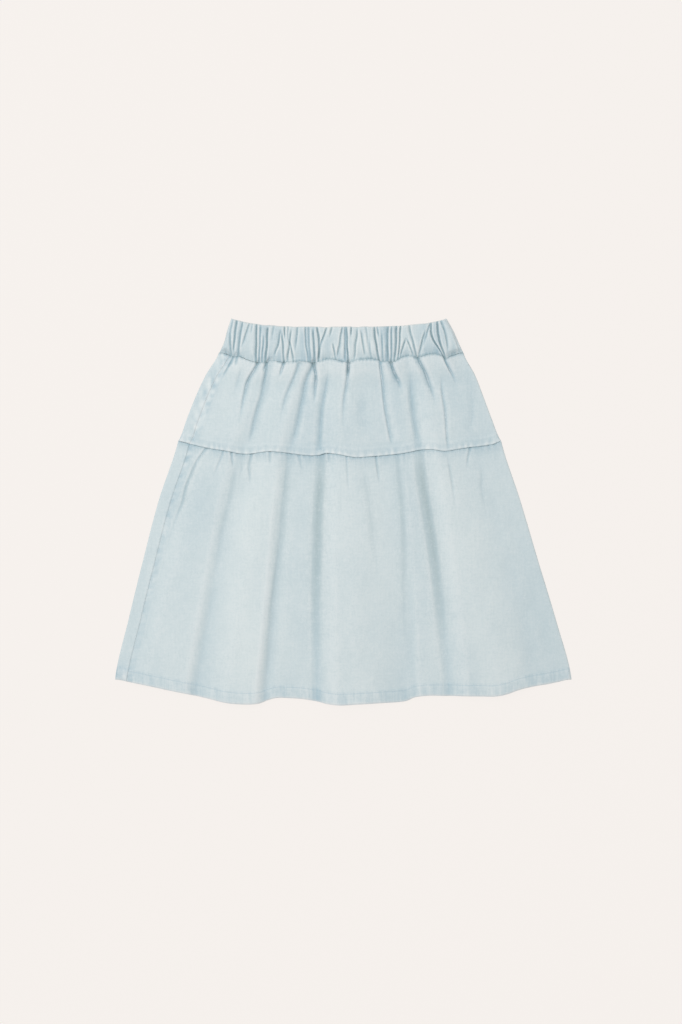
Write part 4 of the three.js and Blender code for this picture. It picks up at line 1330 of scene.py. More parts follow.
@dataclass
class Waistband(ClothPiece):
    """Half of the elastic casing: a closed, gathered tube of cloth with the elastic inside.

    Attributes:
        name: The piece's name.
        face: Front or back.
        layout: The garment's layout.
        relief: The front's relief, which the band comes down to at its seam.
        rows: Points from its rolled top edge to its seam.
        columns: Points across it.
        cut: Width and length of the cloth that shows, before it was gathered, m; not used.
        plane: Height at which the two halves meet, mm.
        gap: From there to each half's inner face, mm.
        stand: How far the front stands out from its inner face, mm.
        back_stand: How far the back does, mm.
        casing: Height of the casing along the cloth, mm.
        shown: Its height as it lies, between its rolled top edge and its seam, mm.
        side_bulge: How far the left and the right end bulge inwards and outwards, mm.
        sink_limit: Share of the height that creases may take.
        least: Least height of the cloth over its inner face, mm.
        top_roll: Width of the rolled top edge, mm.
        side_roll: Width of the rolled ends, mm.
        seam_pinch: Share of the height that is pinched away at the seam.
        seam_drop: Depth of the seam's ditch, mm.
        drop_reach: Width of its side, mm.
        seam_meet: How closely the seam meets the tier's height, 0 to 1.
        seam_reach: Over what distance it comes to that height, mm.
        seam_ticks: Gathers along the seam.
        gathering: Length of the cloth for each mm of the gathered band.
        back_creases: How many creases the back has.
        back_feet: X at the seam that its creases spread over.
        dyed: Spots of bluer and paler cloth, partly left by washing and partly painted shade and painted light on the
            flanks of its folds: place and reach in mm, and how much.
        creases: The front's creases, mm across and shares of the height down.
    """

    name: str
    face: Face
    layout: Layout
    relief: Relief
    rows: int
    columns: int
    cut: tuple[float, float]
    plane: float = 4.2
    gap: float = 0.1
    stand: float = 7.4
    back_stand: float = 4.0
    casing: float = 44.0
    shown: float = 40.0
    side_bulge: tuple[float, float] = (1.5, 1.0)
    sink_limit: float = 0.78
    least: float = 0.25
    top_roll: float = 3.2
    side_roll: float = 5.0
    seam_pinch: float = 0.36
    seam_drop: float = 1.1
    drop_reach: float = 3.4
    seam_meet: float = 0.9
    seam_reach: float = 6.0
    seam_ticks: Puckers = Puckers(3.9, 0.5, 5.0, 71)
    gathering: float = 1.35
    back_creases: int = 36
    back_feet: tuple[float, float] = (-144.0, 143.0)
    dyed: tuple[tuple[float, float, float], ...] = (
        (-123.0, 8.0, 0.14), (-108.0, 6.0, -0.14), (-91.5, 7.0, 0.3), (-80.0, 4.0, -0.1), (-74.0, 4.0, 0.12),
        (-58.0, 8.0, -0.1), (-35.0, 8.0, 0.3), (-12.0, 10.0, -0.14), (5.0, 4.0, 0.34), (24.0, 12.0, -0.16),
        (56.0, 9.0, 0.34), (82.0, 12.0, -0.18), (99.0, 6.0, 0.08), (112.0, 6.0, 0.34), (128.0, 7.0, -0.12),
    )
    # places, start, end, depth, left, right, fade, sharp, core
    creases: tuple[Crease, ...] = (
        Crease((-126.7, -130.3, -128.7), -0.05, 1.04, 3.0, 4, 2.5, (0.1, 0.1)),
        Crease((-122.0, -124.6, -126.7), -0.05, 0.98, 2.8, 2.6, 2, (0.1, 0.2)),
        Crease((-115.0, -118.8, -120.0), -0.05, 1.04, 2.6, 4, 2, (0.1, 0.1)),
        Crease((-106.5, -112.3, -117.0), -0.05, 0.8, 2.2, 1.8, 5, (0.1, 0.4)),
        Crease((-103.0, -105.5), -0.05, 0.35, 1.3, 3, 1.6, (0.1, 0.5)),
        Crease((-98.3, -99.0, -99.4), -0.05, 1.05, 4.6, 5, 1.6, (0.0, 0.0), 0.9),
        Crease((-93.5, -95.0, -95.8), -0.05, 1.05, 2.0, 3, 1.8, (0.2, 0.1)),
        Crease((-90.1, -91.8, -93.0), 0.2, 1.05, 2.2, 2, 1.8, (0.3, 0.0)),
        Crease((-85.7, -87.2, -88.9), 0.04, 1.05, 4.4, 4.5, 1.8, (0.1, 0.0), 0.9),
        Crease((-78.0, -80.0, -81.0), -0.05, 0.5, 1.2, 3, 2, (0.1, 0.5)),
        Crease((-70.3, -73.7, -79.6), 0.06, 0.95, 3.2, 5, 1.6, (0.2, 0.3), 0.9),
        Crease((-66.7, -65.5), -0.04, 0.4, 3.2, 1.6, 1.6, (0.1, 0.5), 0.9),
        Crease((-69.0, -68.3, -66.7), 0.1, 1.05, 2.8, 2.4, 1.8, (0.2, 0.0)),
        Crease((-62.5, -62.0, -61.8), -0.05, 0.5, 1.6, 2, 1.6, (0.1, 0.5)),
        Crease((-58.5, -60.8, -63.2), 0.04, 1.05, 3.2, 3, 1.8, (0.2, 0.0)),
        Crease((-60.8, -57.9, -55.7), 0.34, 1.05, 2.8, 2.4, 1.6, (0.3, 0.0)),
        Crease((-50.6, -52.6, -53.8), -0.05, 0.8, 2.2, 4, 1.8, (0.1, 0.5)),
        Crease((-42.1, -40.9, -38.6), -0.05, 1.05, 2.4, 1.8, 7, (0.1, 0.0), 0.5),
        Crease((-38.4, -37.4, -36.4), -0.05, 1.05, 1.8, 2.4, 2, (0.1, 0.0), 0.6),
        Crease((-33.1, -31.6, -30.9), 0.02, 1.05, 3.0, 3, 1.6, (0.2, 0.0), 0.9),
        Crease((-28.7, -25.7, -27.2), -0.05, 1.05, 3.8, 2.4, 2, (0.1, 0.0), 0.9),
        Crease((-16.4, -24.0, -26.9), -0.05, 1.05, 3.2, 1.6, 4, (0.1, 0.0), 0.8),
        Crease((-10.5, -14.0), -0.05, 0.4, 2.4, 3, 1.8, (0.1, 0.6)),
        Crease((-9.9, -7.0), 0.46, 1.02, 2.6, 1.6, 3, (0.3, 0.0)),
        Crease((1.2, -1.8, -5.3), -0.05, 0.98, 2.8, 1.8, 5, (0.1, 0.2)),
        Crease((4.0, 4.6, 4.4), -0.05, 1.0, 2.4, 3, 2, (0.1, 0.1), 0.5),
        Crease((5.6, 7.0, 7.8), -0.05, 1.05, 4.2, 3.4, 1.6, (0.05, 0.0), 0.9),
        Crease((11.7, 10.5), -0.04, 0.34, 3.0, 1.8, 1.6, (0.1, 0.5), 0.9),
        Crease((18.6, 17.1, 15.2), -0.04, 1.0, 2.8, 4, 1.8, (0.3, 0.1)),
        Crease((22.2, 24.6, 28.1), 0.02, 0.96, 2.4, 1.8, 4, (0.3, 0.2)),
        Crease((28.6, 30.2, 31.6), -0.05, 0.8, 1.3, 3, 1.8, (0.1, 0.5)),
        Crease((32.2, 33.0, 35.5), 0.3, 1.02, 1.6, 3, 2, (0.4, 0.0), 0.4),
        Crease((39.1, 40.5, 44.2), -0.05, 1.05, 4.6, 4, 1.6, (0.02, 0.0), 0.95),
        Crease((41.5, 44.5), -0.05, 0.4, 2.0, 1.6, 2.2, (0.1, 0.5)),
        Crease((47.5, 48.0, 49.0), 0.1, 1.05, 1.8, 2.6, 1.8, (0.3, 0.0)),
        Crease((54.4, 54.4, 54.4), -0.05, 1.05, 3.6, 6, 1.6, (0.1, 0.0), 0.8),
        Crease((58.6, 58.9, 58.2), -0.05, 1.05, 2.2, 2, 1.6, (0.2, 0.0)),
        Crease((64.3, 64.3, 61.7), -0.05, 1.05, 3.8, 4, 1.6, (0.05, 0.0), 0.9),
        Crease((69.0, 68.4, 66.1), -0.05, 1.05, 3.2, 2, 1.6, (0.05, 0.0), 0.9),
        Crease((75.6, 72.5, 69.0), 0.36, 1.0, 2.8, 2.4, 1.6, (0.35, 0.1), 0.9),
        Crease((75.6, 79.6, 83.7), 0.36, 1.0, 2.6, 1.6, 3, (0.35, 0.2), 0.9),
        Crease((79.3, 83.1, 87.8), -0.05, 1.02, 3.0, 4, 1.8, (0.1, 0.1)),
        Crease((98.3, 94.2, 90.1), 0.16, 1.04, 3.0, 1.8, 4, (0.3, 0.1)),
        Crease((104.1, 99.4, 95.4), -0.05, 0.8, 2.2, 2, 3, (0.1, 0.5)),
        Crease((104.8, 107.1, 120.2), -0.05, 1.05, 4.2, 3.4, 1.6, (0.05, 0.0), 0.95),
        Crease((112.2, 114.4, 121.7), -0.05, 1.05, 4.0, 3, 1.6, (0.05, 0.0), 0.9),
        Crease((115.8, 121.7, 124.6), -0.05, 0.95, 2.2, 1.8, 4, (0.1, 0.3)),
        Crease((130.5, 134.5, 139.2), 0.3, 1.02, 2.0, 3, 3, (0.4, 0.0)),
    )

    def own_creases(self) -> tuple[Crease, ...]:
        """The creases of this half: the front's own, or ones of the same kind that a formula gives the back.

        Returns:
            The creases.
        """
        if self.face is Face.FRONT:
            return self.creases
        made = []
        for i in range(self.back_creases):
            share = (i + 1) / (self.back_creases + 1)
            shift = 2.2 * math.sin(i * 2.4) + 1.1 * math.sin(i * 5.1)
            top = self.layout.waist_left + share * (self.layout.waist_right - self.layout.waist_left) + shift
            foot = self.back_feet[0] + share * (self.back_feet[1] - self.back_feet[0])
            foot = foot + shift + 1.8 * math.sin(i * 3.7)
            depth = 2.3 + 0.9 * math.sin(i * 4.3)
            made.append(Crease((top, (top + foot) / 2, foot), 0.05, 1.04, depth, 2.6, 2.6, (0.2, 0.0), 0.8))
        return tuple(made)

    def cloth(self) -> Cloth:
        """Lays out the band's outer face over its flat inner one.

        Returns:
            The cloth.
        """
        front = self.face is Face.FRONT
        v_line = spaced(self.rows, self.casing, 0.4, 1.0, [(0.0, 6.0), (1.0, 5.0)])
        v_line = np.clip(v_line, 0, 1 - 0.06 / self.shown)
        u_line = spaced(self.columns, 280.0, 0.3, 1.0, [(0.0, 5.0), (1.0, 5.0)])
        v, u = np.meshgrid(v_line, u_line, indexing="ij")
        left = self.layout.waist_left + (self.layout.seam_left - self.layout.waist_left) * v
        left = left + self.side_bulge[0] * soft_spot(v, 0.7, 0.25)
        right = self.layout.waist_right + (self.layout.seam_right - self.layout.waist_right) * v
        right = right + self.side_bulge[1] * soft_spot(v, 0.35, 0.3)
        x = left + u * (right - left)
        down = v * self.casing
        height = self.stand if front else self.back_stand
        limit = height * self.sink_limit
        sunk = sum(crease.sink(x, v, 1.0) for crease in self.own_creases())
        sunk = limit * (1 - np.exp(-sunk / limit))
        fine = 0.28 * Unevenness(81, 5.5, 16).at(x, down) + 0.5 * Unevenness(82, 13, 30).at(x, down)
        inward = np.minimum(u, 1 - u) * (right - left)
        off_seam = (1 - v) * self.shown
        roll = self.roll(v * (self.shown + 2), self.top_roll) * self.roll(inward, self.side_roll)
        pinch = 1 - self.seam_pinch * ease((v - 0.6) / 0.4) ** 1.6
        drop = self.seam_drop * fall(off_seam, self.drop_reach)
        ticks = (self.seam_ticks.stand(x, off_seam) - drop) * ease(inward / 6)
        crest = np.maximum((height + fine - sunk) * pinch * (0.12 + 0.88 * roll) + ticks, self.least)
        top = self.layout.waist.at(u) - 0.9 * (sunk / limit) ** 1.5 + 0.5 * Unevenness(84, 9, 50).at(x, v)
        y = top + (self.layout.band_seam(u, self.face) - top) * v
        x = x + 0.5 * Unevenness(85, 8, 12).at(x, down) * ease(inward / 8) * ease(off_seam / 5)
        if front:
            inner_z = self.plane + self.gap
            meet = 2 * self.layout.edge_radius + self.relief.front(u, np.zeros_like(u)) - self.seam_drop
            near_seam = self.seam_meet * fall(off_seam, self.seam_reach)
            z = inner_z + crest
            z = z + (np.maximum(meet, inner_z + self.least) - z) * near_seam
        else:
            inner_z = self.plane - self.gap
            z = np.maximum(inner_z - crest, 0.0)
        outer = np.stack([x, y, z], axis=2)
        inner = np.stack([x, y, np.full_like(x, inner_z)], axis=2)
        weave = np.stack([x * self.gathering, y], axis=2)
        wash = self.wash(x, v, crest, sunk / limit)
        if not front:
            outer, inner, weave = outer[:, ::-1], inner[:, ::-1], weave[:, ::-1]
            wash = wash.changed(lambda grid: grid[:, ::-1])
        return Cloth(self.name, outer, np.ones(x.shape), weave, wash, np.full(x.shape, 0.8), inner)

    @staticmethod
    def roll(distance: Array, width: float) -> Array:
        """A quarter-round edge: 0 at the edge, 1 at its width and beyond."""
        return np.sqrt(np.clip(1 - (1 - np.clip(distance / width, 0, 1)) ** 2, 0, 1))

    def wash(self, x: Array, v: Array, crest: Array, sunk: Array) -> WashAndShade:
        """How the band has been washed, and where shade and highlights are painted on it.

        Args:
            x: X, mm.
            v: Places down the band, 0 to 1.
            crest: Height over the inner plane, mm.
            sunk: Depth in the creases, 0 to 1.

        Returns:
            The washed colour, painted shade and painted highlights at each point.
        """
        fine, middle = crest - blur(crest, (1, 3)), crest - blur(crest, (2, 8))
        down = v * self.casing
        patches = 0.5 * Unevenness(91, 5, 30).at(x, down) + 0.5 * Unevenness(92, 16, 20).at(x, down)
        blue = 0.46 + 0.2 * patches + 0.1 * sunk + np.clip(-fine, 0, 1) * 0.3 + np.clip(-middle, 0, 2) * 0.12
        # Bluer and paler spots: partly washed tone, partly painted shade and light on the flanks of the folds.
        for place, reach, more in self.dyed:
            blue = blue + more * soft_spot(x, place, reach)
        # Along the seam: bluer, and darkened with painted shade in the seam's ditch.
        uneven = seam_share(x)
        stitched = fall((1 - v) * self.shown, 4.0)
        # Crests lighter, partly rubbed white and partly painted highlight; painted shade in the creases.
        worn = np.clip(fine, 0, 0.6) * 0.7 + np.clip(middle, 0, 1.2) * 0.2
        blue = blue + 0.45 * stitched * uneven + 0.14 * ease((v - 0.55) / 0.45) - 0.5 * worn
        deep = 0.6 * np.clip(-fine - 0.1, 0, 1.2) + 0.16 * sunk
        deep = deep + (0.34 + 0.4 * sunk) * stitched * (0.4 + 0.6 * uneven)
        return WashAndShade(blue, worn, deep).changed(lambda grid: np.clip(grid, 0, 1))


@dataclass
class HemStitching:
    """The row of stitches that holds the turned-up hem, each stitch a short length of thread.

    Attributes:
        name: The piece's name.
        panel: The panel that it is sewn on.
        from_hem: Distance from the hem's edge, mm.
        pitch: From one stitch to the next, mm.
        length: Length of one stitch, mm.
        thread: Thickness of the thread, mm.
        lift: How far a stitch stands out from the cloth, mm.
        seam_margin: From the side seam to the row's end, mm.
        edge_margin: From the other side edge to its other end, mm.
        arch: Along a stitch, its share of the lift and of the thread's thickness at each point.
        sides: Faces round the thread.
        first: From the row's end to its first stitch, mm.
        samples: Points that the row is laid out through.
    """

    name: str
    panel: Panel
    from_hem: float = STITCH_ROW
    pitch: float = 3.1
    length: float = 2.5
    thread: float = 0.42
    lift: float = 0.1
    seam_margin: float = 1.5
    edge_margin: float = 3.5
    arch: tuple[tuple[float, float], ...] = ((-1.5, 0.55), (0.8, 0.95), (1.2, 1.0), (0.8, 0.95), (-1.5, 0.55))
    sides: int = 6
    first: float = 0.4
    samples: int = 1400

    def build(self, material: bpy.types.Material) -> bpy.types.Object:
        """Makes the row of stitches, which follows the cloth.

        Args:
            material: The thread's material.

        Returns:
            The object.
        """
        line = self.row()
        along = np.concatenate([[0], np.cumsum(np.linalg.norm(np.diff(line, axis=0), axis=1))])
        lift = self.lift if self.panel.face is Face.FRONT else -self.lift
        arch = lift * np.array(self.arch)[:, 0]
        points: list[Array] = []
        faces: list[tuple[int, ...]] = []
        for start in np.arange(self.first, along[-1] - self.length, self.pitch):
            places = start + self.length * np.linspace(0, 1, len(arch))
            spine = np.stack([np.interp(places, along, line[:, axis]) for axis in range(3)], axis=1)
            spine[:, 2] += arch
            self.add_stitch(spine, points, faces)
        mesh = bpy.data.meshes.new(self.name)
        moved = (np.array(points) + np.array([*self.panel.layout.shift, 0.0])) * MM
        mesh.from_pydata(moved.tolist(), [], faces)
        mesh.polygons.foreach_set("use_smooth", np.ones(len(mesh.polygons), bool))
        mesh.materials.append(material)
        mesh.update()
        piece = bpy.data.objects.new(self.name, mesh)
        bpy.context.scene.collection.objects.link(piece)
        return piece

    def row(self) -> Array:
        """Lays out the row on the panel's outer face.

        Returns:
            Points along it, mm.
        """
        panel, layout = self.panel, self.panel.layout
        down = 2 - self.from_hem / panel.length
        width = float(layout.width(np.array(down)))
        front = panel.face is Face.FRONT
        wrap = float(through(layout.left_wrap if front else layout.right_wrap, down))
        from_seam, from_edge = (wrap + self.seam_margin) / width, self.edge_margin / width
        ends = (from_seam, 1 - from_edge) if front else (from_edge, 1 - from_seam)
        u = np.linspace(*ends, self.samples)
        t = np.full_like(u, down)
        x, y = layout.left(t) + u * layout.width(t), layout.level(u, t, panel.face)
        spots = Spots(u, t, x, y, np.full(u.shape, front))
        z = 2 * layout.edge_radius + panel.top_relief(spots) if front else panel.under_relief(spots)
        return np.stack([x, y, z], axis=1)

    def add_stitch(self, spine: Array, points: list[Array], faces: list[tuple[int, ...]]) -> None:
        """Adds one stitch, a short tube with closed ends.

        Args:
            spine: Points along its middle, mm.
            points: The mesh's points so far.
            faces: The mesh's faces so far.
        """
        sides, base = self.sides, len(points)
        ahead = spine[-1] - spine[0]
        ahead /= np.linalg.norm(ahead)
        beside = np.cross([0.0, 0.0, 1.0], ahead)
        above = np.cross(ahead, beside)
        for spot, (_, size) in zip(spine, self.arch):
            for k in range(sides):
                angle = 2 * np.pi * k / sides
                points.append(spot + (beside * math.cos(angle) + above * math.sin(angle)) * self.thread / 2 * size)
        last = base + (len(spine) - 1) * sides
        for ring in range(base, last, sides):
            for k in range(sides):
                a, b = ring + k, ring + (k + 1) % sides
                faces.append((a, b, b + sides, a + sides))
        faces.append(tuple(base + k for k in reversed(range(sides))))
        faces.append(tuple(last + k for k in range(sides)))


# ---- Materials ---------------------------------------------------------------------------------------


class Nodes:
    """Adds nodes to one material's tree."""

    def __init__(self, material: bpy.types.Material) -> None:
        """Empties the material's tree.

        Args:
            material: The material.
        """
        material.use_nodes = True
        self.tree = material.node_tree
        self.tree.nodes.clear()

    def add(self, kind: str, settings: dict[str, Any], sockets: Sockets) -> bpy.types.Node:
        """Adds one node.

        Args:
            kind: The node's type.
            settings: Its own settings, set first.
            sockets: Values or links of its inputs, by name or number.

        Returns:
            The node.
        """
        node = self.tree.nodes.new(kind)
        for key, value in settings.items():
            setattr(node, key, value)
        for key, value in sockets.items():
            socket = node.inputs[key]
            if isinstance(value, Term):
                value = value.socket
            if isinstance(value, bpy.types.NodeSocket):
                self.tree.links.new(value, socket)
            else:
                socket.default_value = value
        return node

    def term(self, kind: str, settings: dict[str, Any], sockets: Sockets, output: Union[str, int] = 0) -> "Term":
        """Adds one node and returns one of its outputs, ready for arithmetic."""
        return Term(self, self.add(kind, settings, sockets).outputs[output])

    def attribute(self, name: str, output: str = "Fac") -> "Term":
        """Reads one of the cloth's attributes."""
        return self.term("ShaderNodeAttribute", {"attribute_name": name}, {}, output)

    def finish(self, shader: bpy.types.Node) -> None:
        """Connects a shader to the material's output."""
        self.add("ShaderNodeOutputMaterial", {}, {"Surface": shader.outputs[0]})

    def mix(self, share: "Term", low: Paint, high: Paint) -> "Term":
        """Blends two colours.

        Args:
            share: 0 for the first, 1 for the second.
            low: The first colour.
            high: The second colour.

        Returns:
            The blended colour.
        """
        settings = {"data_type": "RGBA", "clamp_factor": True}
        return self.term("ShaderNodeMix", settings, {0: share, 6: low, 7: high}, 2)


@dataclass(frozen=True)
class Term:
    """A number that varies over the surface; arithmetic on it adds Math nodes.

    Attributes:
        nodes: The tree that it is in.
        socket: The output that carries it.
    """

    nodes: Nodes
    socket: bpy.types.NodeSocket

    def math(self, operation: str, *terms: Operand) -> "Term":
        """Adds one Math node.

        Args:
            operation: The node's operation.
            terms: Its operands, terms or plain numbers.

        Returns:
            The result.
        """
        return self.nodes.term("ShaderNodeMath", {"operation": operation}, dict(enumerate(terms)))

    def __add__(self, other: Operand) -> "Term":
        """self + other."""
        return self.math("ADD", self, other)

    __radd__ = __add__

    def __sub__(self, other: Operand) -> "Term":
        """self - other."""
        return self.math("SUBTRACT", self, other)

    def __rsub__(self, other: Operand) -> "Term":
        """other - self."""
        return self.math("SUBTRACT", other, self)

    def __mul__(self, other: Operand) -> "Term":
        """self * other."""
        return self.math("MULTIPLY", self, other)

    __rmul__ = __mul__

    def limited(self) -> "Term":
        """The value held between 0 and 1."""
        return self.nodes.term("ShaderNodeClamp", {}, {0: self})


def total(terms: Iterable[Term]) -> Term:
    """The sum of some terms."""
    return reduce(lambda first, second: first + second, terms)


@dataclass(frozen=True)
class Grain:
    """One size of unevenness in the cloth.

    Attributes:
        scale: Features in one metre.
        detail: Finer steps in it.
        stretch: How often it repeats across and down, against scale.
        tone: Its share of the mottled colour.
        height: Its share of the weave's relief.
    """

    scale: float
    detail: float
    stretch: tuple[float, float] = (1.0, 1.0)
    tone: float = 0.0
    height: float = 0.0

    def over(self, place: Term) -> Term:
        """This unevenness over the cloth, centred on 0.

        Args:
            place: The cloth's own coordinates, m.

        Returns:
            The noise.
        """
        settings = {"operation": "MULTIPLY"}
        spot = place.nodes.term("ShaderNodeVectorMath", settings, {0: place, 1: (*self.stretch, 1.0)})
        sockets = {"Vector": spot, "Scale": self.scale, "Detail": self.detail, "Roughness": 0.55}
        return place.nodes.term("ShaderNodeTexNoise", {"noise_dimensions": "2D"}, sockets) - 0.5


@dataclass(frozen=True)
class DenimFinish:
    """Pale stone-washed twill: pale warp over white weft, bluer where washing didn't reach, with painted shade and
    painted highlights mixed in.

    Attributes:
        name: The material's name.
        pale: Colour of the washed cloth.
        blue: Colour where the most blue is left.
        white: Colour where the cloth is rubbed white, and of its painted highlights.
        dark: Colour of the painted shade at the bottoms of creases, along seams and between puckers.
        twill: Width of one twill line, m.
        slope: How steeply the twill lines run: their share across and down.
        relief: Depth of the weave, m.
        mottle: Strength of the mottled colour.
        clouds: Soft clouds of colour.
        patches: Patches a few mm wide.
        speckle: Specks a mm or two wide.
        grain: The finest grain.
        slubs: Thick places in the warp and in the weft.
        streaks: Fine streaks down the cloth.
    """

    name: str
    pale: Colour = (0.696, 0.762, 0.766, 1.0)
    blue: Colour = (0.38, 0.518, 0.588, 1.0)
    white: Colour = (0.80, 0.825, 0.825, 1.0)
    dark: Colour = (0.27, 0.365, 0.374, 1.0)
    twill: float = 0.0007
    slope: tuple[float, float] = (0.82, 0.57)
    relief: float = 0.00012
    mottle: float = 0.2
    clouds: Grain = Grain(30, 3, tone=0.7)
    patches: Grain = Grain(120, 4, tone=0.6)
    speckle: Grain = Grain(330, 3, tone=1.2)
    grain: Grain = Grain(800, 3, tone=1.2, height=0.7)
    slubs: tuple[Grain, Grain] = (
        Grain(430, 3, (1.0, 0.2), tone=0.9, height=1.1),
        Grain(430, 3, (0.22, 1.0), tone=0.72, height=0.88),
    )
    streaks: Grain = Grain(380, 3, (1.0, 0.05))

    def material(self) -> bpy.types.Material:
        """Makes the material.

        Returns:
            The material.
        """
        made = bpy.data.materials.new(self.name)
        nodes = Nodes(made)
        place = nodes.attribute("cloth", "Vector")
        blue, worn, deep, streaked = (nodes.attribute(name) for name in ("blue", "worn", "deep", "streak"))
        layers = (self.clouds, self.patches, self.speckle, self.grain, *self.slubs)
        noises = [layer.over(place) for layer in layers]
        tone = total(noise * layer.tone for noise, layer in zip(noises, layers))
        woven = total(noise * layer.height for noise, layer in zip(noises, layers) if layer.height)
        grain = noises[layers.index(self.grain)]
        axes = nodes.add("ShaderNodeSeparateXYZ", {}, {0: place})
        across, down = Term(nodes, axes.outputs[0]), Term(nodes, axes.outputs[1])
        turns = 2 * math.pi / self.twill
        phase = across * (turns * self.slope[0]) + down * (turns * self.slope[1])
        twill = phase.math("SINE", phase)
        streaks = streaked * self.streaks.over(place)
        share = (blue + tone * (self.mottle * 0.3) + streaks * 0.4).limited()
        fuzz = tone * 0.48 + streaks * 0.25 + twill * 0.02
        colour = nodes.mix(share, self.pale, self.blue)
        # Painted shade in the creases and along the seams, mixed towards the dark colour.
        colour = nodes.mix((deep + fuzz * self.mottle).limited(), colour, self.dark)
        # Wear and painted highlights, mixed towards white.
        colour = nodes.mix((worn - fuzz * 0.5).limited(), colour, self.white)
        height = twill * 0.35 + woven
        bump = nodes.term("ShaderNodeBump", {}, {"Strength": 0.55, "Distance": self.relief, "Height": height}, "Normal")
        sockets = {
            "Base Color": colour,
            "Roughness": (0.86 + grain * 0.08).limited(),
            "Normal": bump,
            "Sheen Weight": 0.12,
            "Sheen Roughness": 0.5,
            "Specular IOR Level": 0.18,
        }
        nodes.finish(nodes.add("ShaderNodeBsdfPrincipled", {}, sockets))
        return made


@dataclass(frozen=True)
class ThreadFinish:
    """Matt sewing thread with a fine twist.

    Attributes:
        name: The material's name.
        light: Its lighter colour.
        dark: Its darker colour.
        twist: Turns of its twist in one metre.
        relief: Depth of the twist, m.
    """

    name: str
    light: Colour = (0.62, 0.71, 0.74, 1.0)
    dark: Colour = (0.44, 0.56, 0.63, 1.0)
    twist: float = 900.0
    relief: float = 0.0001

    def material(self) -> bpy.types.Material:
        """Makes the material.

        Returns:
            The material.
        """
        made = bpy.data.materials.new(self.name)
        nodes = Nodes(made)
        spot = nodes.add("ShaderNodeTexCoord", {}, {}).outputs["Object"]
        twist = nodes.term("ShaderNodeTexNoise", {}, {"Vector": spot, "Scale": self.twist, "Detail": 2.0})
        colour = nodes.mix(twist, self.light, self.dark)
        bump = nodes.term("ShaderNodeBump", {}, {"Strength": 0.4, "Distance": self.relief, "Height": twist}, "Normal")
        sockets = {"Base Color": colour, "Roughness": 0.7, "Normal": bump}
        nodes.finish(nodes.add("ShaderNodeBsdfPrincipled", {}, sockets))
        return made


# ---- Studio ------------------------------------------------------------------------------------------


@dataclass(frozen=True)
class Studio:
    """A plain pale floor, soft light from above and a camera that looks straight down.

    Attributes:
        floor_colour: Colour of the floor.
        floor_size: Half its width, m.
        floor_drop: How far it lies below the skirt, m.
        floor_glow: How much of the floor's light is its own, which keeps it even.
        camera_height: Height of the camera over the floor, m.
        camera_spot: Where the camera stands over the floor, m.
        lens: Its focal length, mm.
        sensor: Width of its sensor, mm.
        sky: Strength of the even light from all round.
        lamp: Power of the soft box overhead, W.
        lamp_size: Its width, m.
        lamp_spot: Where it hangs, m.
        lamp_tilt: Its turn about X and about Y, degrees.
    """

    floor_colour: Colour = (0.9216, 0.8796, 0.8469, 1.0)
    floor_size: float = 6.0
    floor_drop: float = 0.0006
    floor_glow: float = 0.95
    camera_height: float = 2.834
    camera_spot: tuple[float, float] = (-0.0027, -0.0004)
    lens: float = 85.0
    sensor: float = 36.0
    sky: float = 0.58
    lamp: float = 26.0
    lamp_size: float = 1.5
    lamp_spot: tuple[float, float, float] = (-0.65, 0.6, 2.1)
    lamp_tilt: tuple[float, float] = (-15.9, -17.2)

    def build(self) -> None:
        """Makes the floor, the lights and the camera, and sets the plain view transform."""
        self.floor()
        self.lights()
        self.camera()
        bpy.context.scene.view_settings.view_transform = "Standard"
        bpy.context.scene.view_settings.look = "None"

    def floor(self) -> None:
        """Makes the floor, which isn't part of the skirt."""
        s = self.floor_size
        mesh = bpy.data.meshes.new("floor")
        mesh.from_pydata([(-s, -s, 0), (s, -s, 0), (s, s, 0), (-s, s, 0)], [], [(0, 1, 2, 3)])
        floor = bpy.data.objects.new("floor", mesh)
        floor.location.z = -self.floor_drop
        bpy.context.scene.collection.objects.link(floor)
        made = bpy.data.materials.new("floor_paint")
        nodes = Nodes(made)
        paint = nodes.add("ShaderNodeBsdfDiffuse", {}, {"Color": self.floor_colour})
        glow = nodes.add("ShaderNodeEmission", {}, {"Color": self.floor_colour, "Strength": 1.0})
        both = {0: self.floor_glow, 1: paint.outputs[0], 2: glow.outputs[0]}
        nodes.finish(nodes.add("ShaderNodeMixShader", {}, both))
        mesh.materials.append(made)

    def lights(self) -> None:
        """Makes an even sky and a large soft box overhead, a little up and to the left."""
        world = bpy.data.worlds.new("studio")
        world.use_nodes = True
        background = world.node_tree.nodes["Background"]
        background.inputs["Color"].default_value = (1.0, 1.0, 1.0, 1.0)
        background.inputs["Strength"].default_value = self.sky
        bpy.context.scene.world = world
        light = bpy.data.lights.new("soft_box", "AREA")
        light.shape = "DISK"
        light.size = self.lamp_size
        light.energy = self.lamp
        lamp = bpy.data.objects.new("soft_box", light)
        lamp.location = self.lamp_spot
        lamp.rotation_euler = (math.radians(self.lamp_tilt[0]), math.radians(self.lamp_tilt[1]), 0.0)
        bpy.context.scene.collection.objects.link(lamp)

    def camera(self) -> None:
        """Makes the camera."""
        data = bpy.data.cameras.new("camera")
        data.lens = self.lens
        data.sensor_width = self.sensor
        camera = bpy.data.objects.new("camera", data)
        camera.location = (*self.camera_spot, self.camera_height)
        bpy.context.scene.collection.objects.link(camera)
        bpy.context.scene.camera = camera


# ---- The whole skirt ---------------------------------------------------------------------------------


